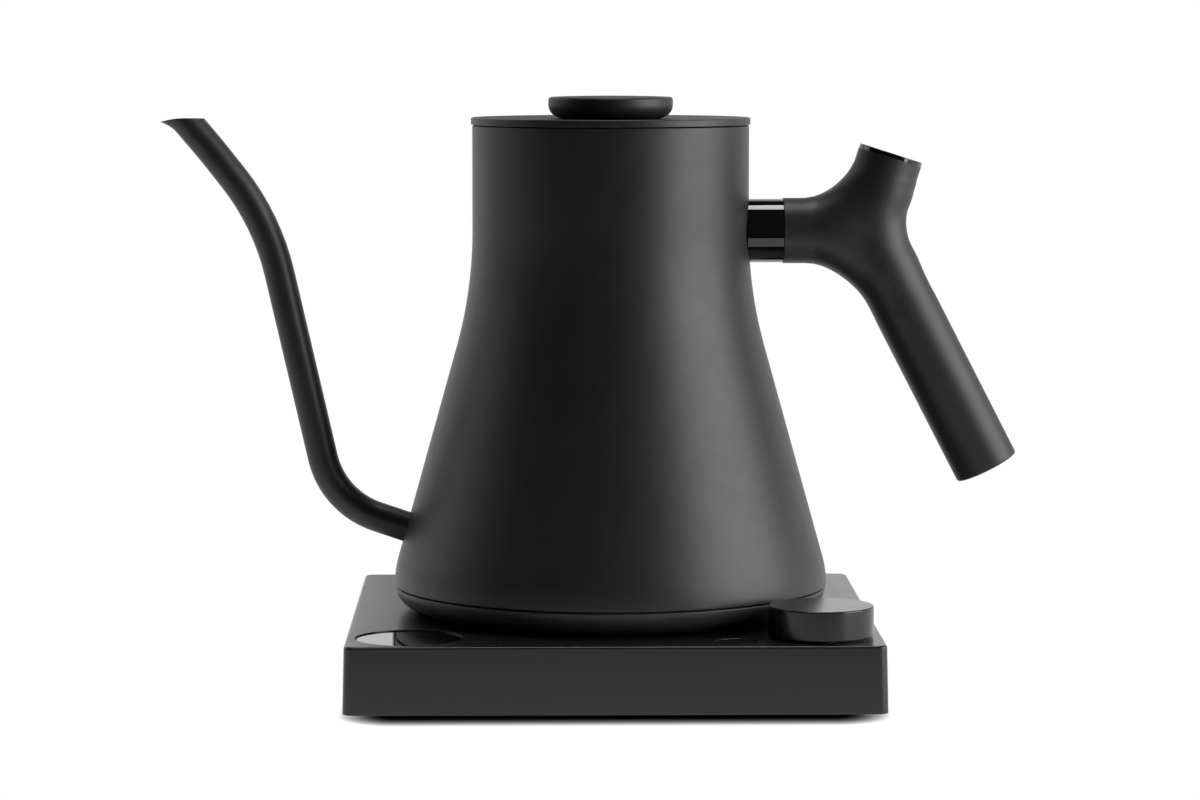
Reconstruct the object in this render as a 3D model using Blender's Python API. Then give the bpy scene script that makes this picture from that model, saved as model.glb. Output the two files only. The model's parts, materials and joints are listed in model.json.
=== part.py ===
"""Electric gooseneck kettle standing on its square heated base.

Every number below is a length in millimetres or an angle in degrees; the meshes are made in metres.
Heights are measured from the top face of the base, which is the plane that the kettle stands on, and
distances across from the kettle's upright axis. +X is the handle's side, -X the spout's, -Y the front.
"""
import math

import bmesh
import bpy
from mathutils import Matrix, Vector

MM = 0.001
GAP = 0.3                     # air left between two pieces that touch in the real object

# Whole object
SPOUT_REACH = 155.1           # from the kettle's axis to the tip of the spout
HANDLE_REACH = 140.65         # from the kettle's axis to the far side of the grip
BASE_TOP = 25.6               # height of the base's top face above the table
AXIS_X = (SPOUT_REACH - HANDLE_REACH) / 2

# Base
BASE_HALF = 89.0              # half the side of the square top
BASE_DRAFT = 0.5              # how much further out each side stands at the bottom
BASE_HEIGHT = 22.5
BASE_CORNER = 3.0
BASE_EDGE = 0.5
BASE_WALL = 2.2
BASE_ROOF = 2.5
PLINTH_INSET = 11.0
PLATE_TOP = -18.6
PLINTH_BOTTOM = -25.0
FOOT_SPOT = 64.0
FOOT_R = 7.0
SCREW_SPOT = (73.0, 36.0)
BOSS_R = 4.0

# Controls on the base
DISPLAY_AT = (-68.2, -67.9)
DISPLAY_R = 17.8
KNOB_AT = (68.6, -68.0)
KNOB_R = 17.45
KNOB_TOP = 10.7
KNOB_LIFT = 0.8
SHAFT_R = 2.6
BUSHING_R = 4.2
MENU_AT = (39.8, -77.5)
MENU_R = 6.4
BOARD_TOP = -10.4
BOARD_THICK = 1.6

# Connector under the kettle
CONNECTOR_R = 20.0
NOSE_R = (9.8, 12.2)          # inner and outer radius of the kettle's round nose
NOSE_BOTTOM = -6.0
PIN_R = 2.5

# Kettle body
NECK_R = 47.75
RIM_Z = 168.1
FLARE_START = 132.4           # the neck is straight above this height
FLARE_R = 152.0
CONE_ANGLE = math.radians(15.6)
CHINE_START = 18.5            # the cone is straight above this height
CHINE_R = 36.0
SHELL_BOTTOM = 9.1
SHELL_WALL = 1.0
FLOOR_Z = 13.0
CAP_TOP = 8.5
CAP_FOOT_R = 63.6
CAP_WALL = 2.0
BIG_SEGMENTS = 40

# Spout: the corners of its centreline as (x, z), and the bend radius at each corner
SPOUT_R = 5.21
SPOUT_WALL = 1.2
SPOUT_START = (-68.6, 28.0)
SPOUT_CORNERS = (((-96.3, 37.4), 28.5), ((-118.6, 135.3), 84.0), ((-137.15, 159.0), 200.0))
SPOUT_MOUTH = (-146.7, 170.35)
SPOUT_LIP = (1.6, 1.2)        # how far the pouring lip is drawn out and down
SPOUT_SEGMENTS = 16

# Handle: three round limbs in the XZ plane that meet in one point
LIMB_R = 11.3
HUB = Vector((88.45, 0.0, 131.6))
COLLAR_R = 11.05
COLLAR_END = 59.5
ARM_START = 59.8
STUB_ANGLE = math.radians(72.3)
STUB_LENGTH = 28.1
GRIP_ANGLE = math.radians(-62.7)
GRIP_LENGTH = 92.6
SPINE_BEND = 33.0             # centreline radius where the stub runs into the grip
FILLET = 14.5
FILLET_SPREAD = 0.5           # the limbs' surfaces face at least this far apart where the fillet is full
ARMATURE_R = 5.5
HANDLE_SEGMENTS = 20

# Lid
LID_R = 48.2
LID_TOP = 170.7
LID_THICK = 2.3
LID_KNOB_R = 21.5
LID_KNOB_TOP = 178.1
SKIRT_R = 44.7


# ---------------------------------------------------------------- materials

def make_material(name, colour, roughness, metallic=0.0):
    material = bpy.data.materials.new(name)
    material.use_nodes = True
    shader = material.node_tree.nodes["Principled BSDF"]
    shader.inputs["Base Color"].default_value = (*colour, 1.0)
    shader.inputs["Roughness"].default_value = roughness
    shader.inputs["Metallic"].default_value = metallic
    material.diffuse_color = (*colour, 1.0)
    return material


def make_materials():
    return {
        "coat": make_material("matte_black_coating", (0.022, 0.022, 0.024), 0.50),
        "plastic": make_material("matte_black_plastic", (0.024, 0.024, 0.025), 0.55),
        "gloss": make_material("gloss_black_plastic", (0.010, 0.010, 0.011), 0.12),
        "lens": make_material("smoked_window", (0.015, 0.015, 0.017), 0.05),
        "panel": make_material("display_glass", (0.030, 0.032, 0.036), 0.20),
        "rubber": make_material("black_rubber", (0.020, 0.020, 0.020), 0.80),
        "silicone": make_material("grey_silicone", (0.20, 0.20, 0.20), 0.60),
        "steel": make_material("stainless_steel", (0.62, 0.62, 0.60), 0.30, 1.0),
        "aluminium": make_material("aluminium", (0.80, 0.80, 0.80), 0.35, 1.0),
        "brass": make_material("brass", (0.78, 0.60, 0.28), 0.30, 1.0),
        "iron": make_material("zinc_plated_iron", (0.45, 0.45, 0.46), 0.45, 1.0),
        "board": make_material("circuit_board", (0.03, 0.16, 0.07), 0.50),
        "component": make_material("component_plastic", (0.05, 0.05, 0.06), 0.50),
    }


# ---------------------------------------------------------------- mesh tools

def add_empty(name, x, y, z, parent=None):
    empty = bpy.data.objects.new(name, None)
    empty.location = Vector((x, y, z)) * MM
    empty.parent = parent
    bpy.context.collection.objects.link(empty)
    return empty


def add_object(name, shape, material, parent, at=(0.0, 0.0, 0.0)):
    """Turn a bmesh in millimetres into an object in metres at a place under its parent."""
    bmesh.ops.recalc_face_normals(shape, faces=shape.faces[:])
    bmesh.ops.scale(shape, vec=(MM, MM, MM), verts=shape.verts[:])
    mesh = bpy.data.meshes.new(name)
    shape.to_mesh(mesh)
    shape.free()
    mesh.shade_smooth()
    mesh.set_sharp_from_angle(angle=math.radians(35))
    mesh.materials.append(material)
    thing = bpy.data.objects.new(name, mesh)
    thing.location = Vector(at) * MM
    thing.parent = parent
    bpy.context.collection.objects.link(thing)
    return thing


def bridge(shape, ring, next_ring):
    """Join two rings of the same number of points; a ring may be one point, repeated."""
    count = len(ring)
    for i in range(count):
        j = (i + 1) % count
        corners = []
        for corner in (ring[i], ring[j], next_ring[j], next_ring[i]):
            if corner not in corners:
                corners.append(corner)
        if len(corners) > 2:
            shape.faces.new(corners)


def turned_shape(profile, segments, hole=False):
    """Turn (radius, height) points about Z. A profile round a hole is a closed loop."""
    shape = bmesh.new()
    rings = []
    for radius, height in profile:
        if radius == 0.0:
            rings.append([shape.verts.new((0.0, 0.0, height))] * segments)
            continue
        angles = [math.tau * i / segments for i in range(segments)]
        rings.append([shape.verts.new((radius * math.cos(a), radius * math.sin(a), height)) for a in angles])
    for ring, next_ring in zip(rings, rings[1:]):
        bridge(shape, ring, next_ring)
    if hole:
        bridge(shape, rings[-1], rings[0])
    return shape


def turned(name, profile, material, parent, at=(0.0, 0.0, 0.0), segments=16, hole=False):
    return add_object(name, turned_shape(profile, segments, hole), material, parent, at)


def ring_profile(inner, outer, bottom, top):
    return [(inner, bottom), (inner, top), (outer, top), (outer, bottom)]


def disc_profile(radius, bottom, top):
    return [(0.0, bottom), (radius, bottom), (radius, top), (0.0, top)]


def arc(centre, radius, start, end, steps):
    """Points on an arc; the angles are in radians and the ends are included."""
    angles = [start + (end - start) * i / steps for i in range(steps + 1)]
    return [(centre[0] + radius * math.cos(a), centre[1] + radius * math.sin(a)) for a in angles]


def block(name, size, at, material, parent):
    """A box given by its size and the middle of its underside."""
    shape = bmesh.new()
    bmesh.ops.create_cube(shape, size=1.0)
    bmesh.ops.scale(shape, vec=size, verts=shape.verts[:])
    bmesh.ops.translate(shape, vec=(0.0, 0.0, size[2] / 2), verts=shape.verts[:])
    return add_object(name, shape, material, parent, at)


def rounded_square(half, radius, height, steps=4):
    corner = half - radius
    points = []
    for turn in range(4):
        start = turn * math.pi / 2
        side_x = corner if turn in (0, 3) else -corner
        side_y = corner if turn in (0, 1) else -corner
        for x, y in arc((side_x, side_y), radius, start, start + math.pi / 2, steps):
            points.append((x, y, height))
    return points


def loft(loops, closed=False):
    """Join loops of points in turn, and close the ends with flat faces or with each other."""
    shape = bmesh.new()
    rings = [[shape.verts.new(point) for point in loop] for loop in loops]
    for ring, next_ring in zip(rings, rings[1:]):
        bridge(shape, ring, next_ring)
    if closed:
        bridge(shape, rings[-1], rings[0])
    else:
        shape.faces.new(rings[0])
        shape.faces.new(rings[-1])
    return shape


def boolean(target, tool, operation):
    """Cut with a tool, or join it on. The tool is a guide and isn't part of the model."""
    tool.hide_render = True
    tool.display_type = "WIRE"
    modifier = target.modifiers.new(tool.name, "BOOLEAN")
    modifier.operation = operation
    modifier.solver = "EXACT"
    modifier.object = tool


def drill(target, profile, parent, at=(0.0, 0.0, 0.0), towards=(0.0, 0.0, 1.0), segments=16):
    """Cut a turned shape out of a target; the profile's +Z is laid along a direction."""
    shape = turned_shape(profile, segments)
    turn = Vector((0.0, 0.0, 1.0)).rotation_difference(Vector(towards)).to_matrix().to_4x4()
    bmesh.ops.transform(shape, matrix=turn, verts=shape.verts[:])
    number = len(target.modifiers) + 1
    tool = add_object(f"{target.name}_cutter_{number}", shape, None, parent, at)
    boolean(target, tool, "DIFFERENCE")


def lay_along(thing, direction):
    thing.rotation_mode = "QUATERNION"
    thing.rotation_quaternion = Vector((0.0, 0.0, 1.0)).rotation_difference(direction)


# ---------------------------------------------------------------- kettle body

def cone_radius(height):
    flare_end = FLARE_START - FLARE_R * math.sin(CONE_ANGLE)
    flare_end_radius = NECK_R + FLARE_R * (1 - math.cos(CONE_ANGLE))
    return flare_end_radius + (flare_end - height) * math.tan(CONE_ANGLE)


def body_outline(inset, steps):
    """The outside of the body from the rim to the seam, moved inwards by a wall's thickness."""
    flare = arc((NECK_R + FLARE_R, FLARE_START), FLARE_R + inset, math.pi, math.pi + CONE_ANGLE, steps)
    chine_centre_r = cone_radius(CHINE_START) - CHINE_R * math.cos(CONE_ANGLE)
    chine_centre_z = CHINE_START - CHINE_R * math.sin(CONE_ANGLE)
    chine = arc((chine_centre_r, chine_centre_z), CHINE_R - inset, CONE_ANGLE, 0.0, max(steps // 2, 2))
    return flare + chine[:-1] + [(chine[-1][0], SHELL_BOTTOM)]


def make_kettle_shell(materials, parent):
    outside = body_outline(0.0, 6)
    inside = body_outline(SHELL_WALL, 3)
    rim = arc((NECK_R - SHELL_WALL / 2, RIM_Z - SHELL_WALL / 2), SHELL_WALL / 2, math.pi, 0.0, 3)
    profile = inside[::-1] + rim + outside
    shell = turned("kettle_shell", profile, materials["coat"], parent, segments=BIG_SEGMENTS, hole=True)
    corner = SPOUT_CORNERS[0][0]
    along = Vector((corner[0] - SPOUT_START[0], 0.0, corner[1] - SPOUT_START[1])).normalized()
    port = disc_profile(SPOUT_R + GAP + 0.1, -6.0, 10.0)
    drill(shell, port, parent, (SPOUT_START[0], 0.0, SPOUT_START[1]), along, segments=SPOUT_SEGMENTS)


def spout_path():
    """Centreline points of the spout with the direction at each, as (x, z) vectors."""
    start = Vector(SPOUT_START)
    path = [(start, (Vector(SPOUT_CORNERS[0][0]) - start).normalized())]
    ends = [Vector(corner) for corner, bend in SPOUT_CORNERS[1:]] + [Vector(SPOUT_MOUTH)]
    before = start
    for (corner, bend), after in zip(SPOUT_CORNERS, ends):
        corner = Vector(corner)
        arriving = (corner - before).normalized()
        leaving = (after - corner).normalized()
        turn = arriving.angle_signed(leaving)
        setback = bend * math.tan(abs(turn) / 2)
        side = Vector((arriving.y, -arriving.x)) * math.copysign(1.0, turn)
        centre = corner - arriving * setback + side * bend
        steps = max(3, round(abs(math.degrees(turn)) / 8))
        for step in range(steps + 1):
            spin = Matrix.Rotation(-turn * step / steps, 2)
            path.append((centre - spin @ side * bend, spin @ arriving))
        before = corner
    return path


def spout_rings(radius):
    """Rings of the tube at one radius, ending in the level, drawn-out pouring mouth."""
    rings = []
    angles = [math.tau * i / SPOUT_SEGMENTS for i in range(SPOUT_SEGMENTS)]
    for centre, along in spout_path():
        across = Vector((along.y, -along.x))
        ring = []
        for angle in angles:
            offset = across * radius * math.cos(angle)
            ring.append((centre.x + offset.x, radius * math.sin(angle), centre.y + offset.y))
        rings.append(ring)
    mouth = Vector(SPOUT_MOUTH)
    stretch = 1 / along.y
    lip_share = radius / SPOUT_R
    for drop, flare in ((3.5, 0.25), (0.0, 1.0)):
        level = mouth - along * drop / along.y
        ring = []
        for angle in angles:
            out = max(0.0, -math.cos(angle)) ** 3 * flare * lip_share
            x = level.x + radius * stretch * math.cos(angle) - SPOUT_LIP[0] * out
            ring.append((x, radius * math.sin(angle), level.y - SPOUT_LIP[1] * out))
        rings.append(ring)
    return rings


def make_spout(materials, parent):
    outside = spout_rings(SPOUT_R)
    inside = spout_rings(SPOUT_R - SPOUT_WALL)
    shape = loft(outside + inside[::-1], closed=True)
    add_object("spout_tube", shape, materials["coat"], parent)


def make_floor(materials, parent):
    """The water chamber's floor with what heats it and what feels its heat."""
    chine_centre_r = cone_radius(CHINE_START) - CHINE_R * math.cos(CONE_ANGLE)
    wall_r = chine_centre_r + CHINE_R - SHELL_WALL - 0.5
    probe_at = (-24.0, 18.0, 0.0)
    pan_profile = [(0.0, FLOOR_Z - 1), (wall_r, FLOOR_Z - 1), (wall_r, FLOOR_Z + 1),
                   (wall_r - 1, FLOOR_Z + 1), (wall_r - 1, FLOOR_Z), (0.0, FLOOR_Z)]
    pan = turned("floor_pan", pan_profile, materials["steel"], parent, segments=BIG_SEGMENTS)
    drill(pan, disc_profile(4.0, 0.0, 30.0), parent, probe_at)
    spreader_profile = disc_profile(52.0, 9.0, FLOOR_Z - 1 - GAP)
    spreader = turned("heat_spreader", spreader_profile, materials["aluminium"], parent, segments=24)
    drill(spreader, disc_profile(4.0, 0.0, 30.0), parent, probe_at)
    probe_profile = [(0.0, 6.0), (2.0, 6.0), (2.0, 19.0), (1.2, 20.0), (0.0, 20.0)]
    turned("temperature_probe", probe_profile, materials["steel"], parent, probe_at, segments=12)
    seal_profile = ring_profile(2.0 + GAP, 4.0 - GAP, 11.0, 14.0)
    turned("probe_seal", seal_profile, materials["silicone"], parent, probe_at, segments=16, hole=True)
    turned("thermal_cutout", disc_profile(7.0, 3.2, 8.7), materials["component"], parent, (27.0, 12.0, 0.0))
    make_heating_element(materials, parent)


def make_heating_element(materials, parent):
    """A horseshoe of round tube, open at the back."""
    loop_r, tube_r, height = 41.0, 2.7, 6.0
    open_half = math.radians(25)
    steps = 26
    loops = []
    for step in range(steps + 1):
        angle = math.pi / 2 + open_half + (math.tau - 2 * open_half) * step / steps
        ring = []
        for side in range(8):
            tilt = math.tau * side / 8
            reach = loop_r + tube_r * math.cos(tilt)
            ring.append((reach * math.cos(angle), reach * math.sin(angle), height + tube_r * math.sin(tilt)))
        loops.append(ring)
    add_object("heating_element", loft(loops), materials["steel"], parent)


def make_kettle_connector(materials, parent):
    inner, outer = NOSE_R
    body = [(PIN_R + GAP, 0.6), (inner, 0.6), (inner, NOSE_BOTTOM), (outer, NOSE_BOTTOM), (outer, 0.6),
            (18.0, 0.6), (18.0, 8.4), (PIN_R + GAP, 8.4)]
    turned("kettle_connector", body, materials["plastic"], parent, segments=24, hole=True)
    pin = [(0.0, -9.0), (1.6, -9.0), (PIN_R, -8.0), (PIN_R, 8.0), (0.0, 8.0)]
    turned("connector_earth_pin", pin, materials["brass"], parent)
    ring = ring_profile(inner - 1.2 - GAP, inner - GAP, -4.5, -1.5)
    turned("connector_contact_ring", ring, materials["brass"], parent, segments=24, hole=True)


def make_bottom_cap(materials, parent):
    """The plastic underside: a bowl with its rim under the body's seam."""
    seam_r = 74.6
    curve = [(CAP_FOOT_R + (seam_r - CAP_FOOT_R) * math.cos(t), CAP_TOP - (CAP_TOP - GAP) * math.sin(t))
             for t in [math.pi / 2 * i / 4 for i in range(5)]]
    hole_r = 18.0 + GAP
    inner_floor = GAP + CAP_WALL
    profile = curve + [(hole_r, GAP), (hole_r, inner_floor), (CAP_FOOT_R - 3, inner_floor),
                       (seam_r - CAP_WALL - 1, 6.0), (seam_r - 1, 6.0 + CAP_WALL / 2), (seam_r - 1, CAP_TOP)]
    cap = turned("bottom_cap", profile, materials["plastic"], parent, segments=BIG_SEGMENTS, hole=True)
    seal = ring_profile(71.6, seam_r - 1 - GAP, CAP_TOP - 1.0, 11.4)
    turned("bottom_cap_seal", seal, materials["rubber"], parent, segments=BIG_SEGMENTS, hole=True)
    for number in range(3):
        angle = math.radians(30 + 120 * number)
        spot = (56.0 * math.cos(angle), 56.0 * math.sin(angle), 0.0)
        way = [(0.0, -1.0), (3.3, -1.0), (3.3, 1.3), (1.9, 1.3), (1.9, 4.0), (0.0, 4.0)]
        drill(cap, way, parent, spot, segments=12)
        screw = [(0.0, 0.4), (2.9, 0.4), (2.9, 1.0), (1.5, 1.0), (1.5, 11.0), (0.0, 11.0)]
        turned(f"bottom_cap_screw_{number + 1}", screw, materials["iron"], parent, spot, segments=12)


# ---------------------------------------------------------------- handle

def limb_direction(angle):
    return Vector((math.cos(angle), 0.0, math.sin(angle)))


def from_line(point, start, end):
    """The way to a point from the nearest place on a straight centreline."""
    span = end - start
    share = min(max((point - start).dot(span) / span.length_squared, 0.0), 1.0)
    return point - start - span * share


def from_spine(point):
    """The way to a point from the centreline down the stub, round the bend and down the grip."""
    stub, grip = limb_direction(STUB_ANGLE), limb_direction(GRIP_ANGLE)
    half_opening = (STUB_ANGLE - GRIP_ANGLE) / 2
    setback = SPINE_BEND / math.tan(half_opening)
    middle = limb_direction((STUB_ANGLE + GRIP_ANGLE) / 2)
    centre = HUB + middle * SPINE_BEND / math.sin(half_opening)
    ways = [from_line(point, HUB + stub * setback, HUB + stub * STUB_LENGTH * 2),
            from_line(point, HUB + grip * setback, HUB + grip * GRIP_LENGTH * 2)]
    flat = Vector((point.x - centre.x, 0.0, point.z - centre.z))
    if flat.angle(-middle, 0.0) < math.pi / 2 - half_opening:
        ways.append(point - centre - flat.normalized() * SPINE_BEND)
    return min(ways, key=lambda way: way.length)


def handle_field(point):
    """Below zero inside the handle: two round limbs with a fillet that fades where they lie flush."""
    arm_way = from_line(point, HUB - Vector((200.0, 0.0, 0.0)), HUB)
    spine_way = from_spine(point)
    spread = 1.0 - arm_way.normalized().dot(spine_way.normalized())
    fillet = FILLET * min(1.0, spread / FILLET_SPREAD)
    arm, spine = arm_way.length - LIMB_R, spine_way.length - LIMB_R
    near = math.hypot(max(fillet - arm, 0.0), max(fillet - spine, 0.0))
    return max(fillet, min(arm, spine)) - near


def onto_handle(point):
    """Slide a point along the field's slope until it lies on the surface."""
    step = 0.01
    for _ in range(8):
        value = handle_field(point)
        slope = Vector([(handle_field(point + axis * step) - value) / step
                        for axis in (Vector((1, 0, 0)), Vector((0, 1, 0)), Vector((0, 0, 1)))])
        if slope.length_squared < 0.01:
            break
        point = point - slope * value / slope.length_squared
    return point


def limb_ring(direction, distance, radius):
    side = Vector((-direction.z, 0.0, direction.x))
    front = Vector((0.0, -1.0, 0.0))
    angles = [math.tau * i / HANDLE_SEGMENTS for i in range(HANDLE_SEGMENTS)]
    return [HUB + direction * distance + (side * math.cos(a) + front * math.sin(a)) * radius for a in angles]


def crotch_ring(angle, next_angle, last_angle):
    """The line round the hub where a limb meets its two neighbours, point for point with its rings."""
    front = Vector((0.0, -1.0, 0.0))
    ring = []
    for i in range(HANDLE_SEGMENTS):
        turn = math.tau * i / HANDLE_SEGMENTS
        other = next_angle if math.cos(turn) > 0 else last_angle
        towards = limb_direction(angle) + limb_direction(other)
        reach = abs(math.cos(turn)) * LIMB_R * 1.5
        ring.append(HUB + towards.normalized() * reach + front * math.sin(turn) * LIMB_R)
    return ring


def handle_shape():
    """Three limbs as rings of points, welded along the lines where they meet."""
    arm_angle = math.pi
    limbs = ((arm_angle, STUB_ANGLE, GRIP_ANGLE, 19.0, HUB.x - ARM_START, 1, 0.0),
             (STUB_ANGLE, arm_angle, GRIP_ANGLE, 20.0, STUB_LENGTH - 1.4, 1, 0.3),
             (GRIP_ANGLE, STUB_ANGLE, arm_angle, 30.0, GRIP_LENGTH, 3, 0.8))
    shape = bmesh.new()
    for angle, neighbour_a, neighbour_b, blend_end, length, straight_rings, edge in limbs:
        direction = limb_direction(angle)
        side = Vector((-direction.z, 0.0, direction.x))
        on_side = limb_direction(neighbour_a).dot(side) > 0
        next_angle, last_angle = (neighbour_a, neighbour_b) if on_side else (neighbour_b, neighbour_a)
        inner = crotch_ring(angle, next_angle, last_angle)
        outer = limb_ring(direction, blend_end, LIMB_R)
        blend_rows = 4
        rings = []
        for row in range(blend_rows + 1):
            share = row / blend_rows
            rings.append([onto_handle(a.lerp(b, share)) for a, b in zip(inner, outer)])
        for row in range(1, straight_rings + 1):
            distance = blend_end + (length - edge - blend_end) * row / straight_rings
            rings.append(limb_ring(direction, distance, LIMB_R))
        if edge:
            rings.append(limb_ring(direction, length - edge * 0.3, LIMB_R - edge * 0.3))
            rings.append(limb_ring(direction, length, LIMB_R - edge))
        rings = [[shape.verts.new(point) for point in ring] for ring in rings]
        for ring, next_ring in zip(rings, rings[1:]):
            bridge(shape, ring, next_ring)
        shape.faces.new(rings[-1])
    bmesh.ops.remove_doubles(shape, verts=shape.verts[:], dist=0.01)
    return shape


def make_handle(materials, parent):
    stub, grip = limb_direction(STUB_ANGLE), limb_direction(GRIP_ANGLE)
    arm = Vector((1.0, 0.0, 0.0))
    stub_end = HUB + stub * STUB_LENGTH
    grip_end = HUB + grip * GRIP_LENGTH
    shell = add_object("handle_shell", handle_shape(), materials["plastic"], parent)
    drill(shell, disc_profile(ARMATURE_R + 0.4, -5.0, 32.2), parent, (ARM_START, 0.0, HUB.z), arm)
    screw_way = [(0.0, 0.0), (8.6, 0.0), (8.6, 13.0), (2.2, 13.0), (2.2, 36.0), (0.0, 36.0)]
    drill(shell, screw_way, parent, stub_end, -stub)
    weight_way = [(0.0, -2.0), (8.6, -2.0), (8.6, 3.0), (7.0, 3.0), (7.0, 55.0), (0.0, 55.0)]
    drill(shell, weight_way, parent, grip_end, -grip)

    stud = turned("handle_armature", disc_profile(ARMATURE_R, 48.15, 91.3), materials["steel"], parent,
                  (0.0, 0.0, HUB.z))
    lay_along(stud, arm)
    drill(stud, disc_profile(2.1, -10.0, 20.0), parent, HUB, stub)
    collar_profile = [(ARMATURE_R + 0.4, 45.0), (ARMATURE_R + 0.4, COLLAR_END), (COLLAR_R - 0.5, COLLAR_END),
                      (COLLAR_R, COLLAR_END - 0.5), (COLLAR_R, 45.0)]
    collar = turned("handle_collar", collar_profile, materials["gloss"], parent, (0.0, 0.0, HUB.z),
                    segments=24, hole=True)
    lay_along(collar, arm)
    saddle = [(0.0, RIM_Z), (NECK_R + GAP, RIM_Z)] + body_outline(-GAP, 6) + [(0.0, SHELL_BOTTOM)]
    drill(collar, saddle[::-1], parent, segments=BIG_SEGMENTS)

    cap_profile = [(0.0, -7.0), (8.3, -7.0), (8.3, -1.1), (LIMB_R, -1.1), (LIMB_R, -0.3),
                   (LIMB_R - 0.3, 0.0), (0.0, 0.0)]
    cap = turned("handle_cap", cap_profile, materials["gloss"], parent, stub_end, segments=HANDLE_SEGMENTS)
    lay_along(cap, stub)
    screw_profile = [(0.0, -33.0), (1.75, -33.0), (1.75, -12.7), (3.5, -12.7), (3.5, -10.2), (0.0, -10.2)]
    lay_along(turned("handle_screw", screw_profile, materials["iron"], parent, stub_end, segments=12), stub)
    weight_profile = disc_profile(6.6, -52.0, -4.0)
    weight = turned("handle_counterweight", weight_profile, materials["iron"], parent, grip_end)
    lay_along(weight, grip)
    plug = turned("grip_end_plug", disc_profile(8.3, -2.7, 0.0), materials["plastic"], parent, grip_end)
    lay_along(plug, grip)


# ---------------------------------------------------------------- lid

def make_lid(materials, parent):
    bottom = LID_TOP - LID_THICK
    edge = 0.8
    rim = [(LID_R - edge, bottom), (LID_R, bottom + edge), (LID_R, LID_TOP - edge), (LID_R - edge, LID_TOP)]
    plate_profile = [(2.0, bottom)] + rim + [(2.0, LID_TOP)]
    turned("lid_plate", plate_profile, materials["coat"], parent, segments=BIG_SEGMENTS, hole=True)
    skirt = [(0.0, 156.0), (SKIRT_R, 156.0), (SKIRT_R, bottom - GAP), (SKIRT_R - 2, bottom - GAP),
             (SKIRT_R - 2, 158.0), (0.0, 158.0)]
    turned("lid_skirt", skirt, materials["plastic"], parent, segments=BIG_SEGMENTS)
    seal = ring_profile(SKIRT_R + GAP, 46.35, 160.0, 163.0)
    turned("lid_seal", seal, materials["silicone"], parent, segments=BIG_SEGMENTS, hole=True)

    foot = LID_TOP + GAP
    foot_r, belly_z = 14.9, 175.2
    belly = [(foot_r + (LID_KNOB_R - foot_r) * math.cos(t) ** 0.75, belly_z + (belly_z - foot) * math.sin(t))
             for t in [-math.pi / 2 * (1 - i / 5) for i in range(1, 6)]]
    screw_way = [(0.0, 175.5), (2.0, 175.5), (2.0, foot), (foot_r, foot)]
    crown = [(LID_KNOB_R, LID_KNOB_TOP - 1.5), (LID_KNOB_R - 0.3, LID_KNOB_TOP - 0.8),
             (LID_KNOB_R - 1.1, LID_KNOB_TOP - 0.4), (12.0, LID_KNOB_TOP - 0.1), (0.0, LID_KNOB_TOP)]
    turned("lid_knob", screw_way + belly + crown, materials["plastic"], parent, segments=28)
    screw = [(0.0, 164.9), (3.4, 164.9), (3.4, 167.4), (1.6, 167.4), (1.6, 175.1), (0.0, 175.1)]
    turned("lid_knob_screw", screw, materials["iron"], parent, segments=12)


# ---------------------------------------------------------------- base

def make_base_cover(materials, parent):
    """A square tray upside down, with holes for the controls and posts for the screws."""
    low = -BASE_HEIGHT
    inner = BASE_HALF - BASE_WALL
    outside = [rounded_square(inner + BASE_DRAFT, 1.5, low),
               rounded_square(BASE_HALF + BASE_DRAFT - 0.8, BASE_CORNER, low),
               rounded_square(BASE_HALF + BASE_DRAFT, BASE_CORNER, low + 0.8),
               rounded_square(BASE_HALF, BASE_CORNER, -BASE_EDGE),
               rounded_square(BASE_HALF - BASE_EDGE, BASE_CORNER, 0.0)]
    inner_roof = rounded_square(inner, 1.5, -BASE_ROOF)
    shape = loft([inner_roof] + outside)
    cover = add_object("base_cover", shape, materials["coat"], parent)
    for x in (-SCREW_SPOT[0], SCREW_SPOT[0]):
        for y in (-SCREW_SPOT[1], SCREW_SPOT[1]):
            post = turned(f"post_{x:.0f}_{y:.0f}", disc_profile(BOSS_R, PLATE_TOP + GAP, -BASE_ROOF + 1.0),
                          None, parent, (x, y, 0.0), segments=12)
            boolean(cover, post, "UNION")
            drill(cover, disc_profile(1.8, -25.0, -6.0), parent, (x, y, 0.0), segments=12)
    drill(cover, disc_profile(CONNECTOR_R + GAP, -8.0, 4.0), parent, segments=24)
    drill(cover, disc_profile(DISPLAY_R, -8.0, 4.0), parent, (*DISPLAY_AT, 0.0), segments=32)
    drill(cover, disc_profile(BUSHING_R + GAP, -8.0, 4.0), parent, (*KNOB_AT, 0.0))
    drill(cover, disc_profile(MENU_R + 0.35, -8.0, 4.0), parent, (*MENU_AT, 0.0), segments=24)
    drill(cover, disc_profile(5.0 + GAP, 0.0, 12.0), parent, (0.0, BASE_HALF - 6.0, -11.0), (0.0, 1.0, 0.0))


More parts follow.
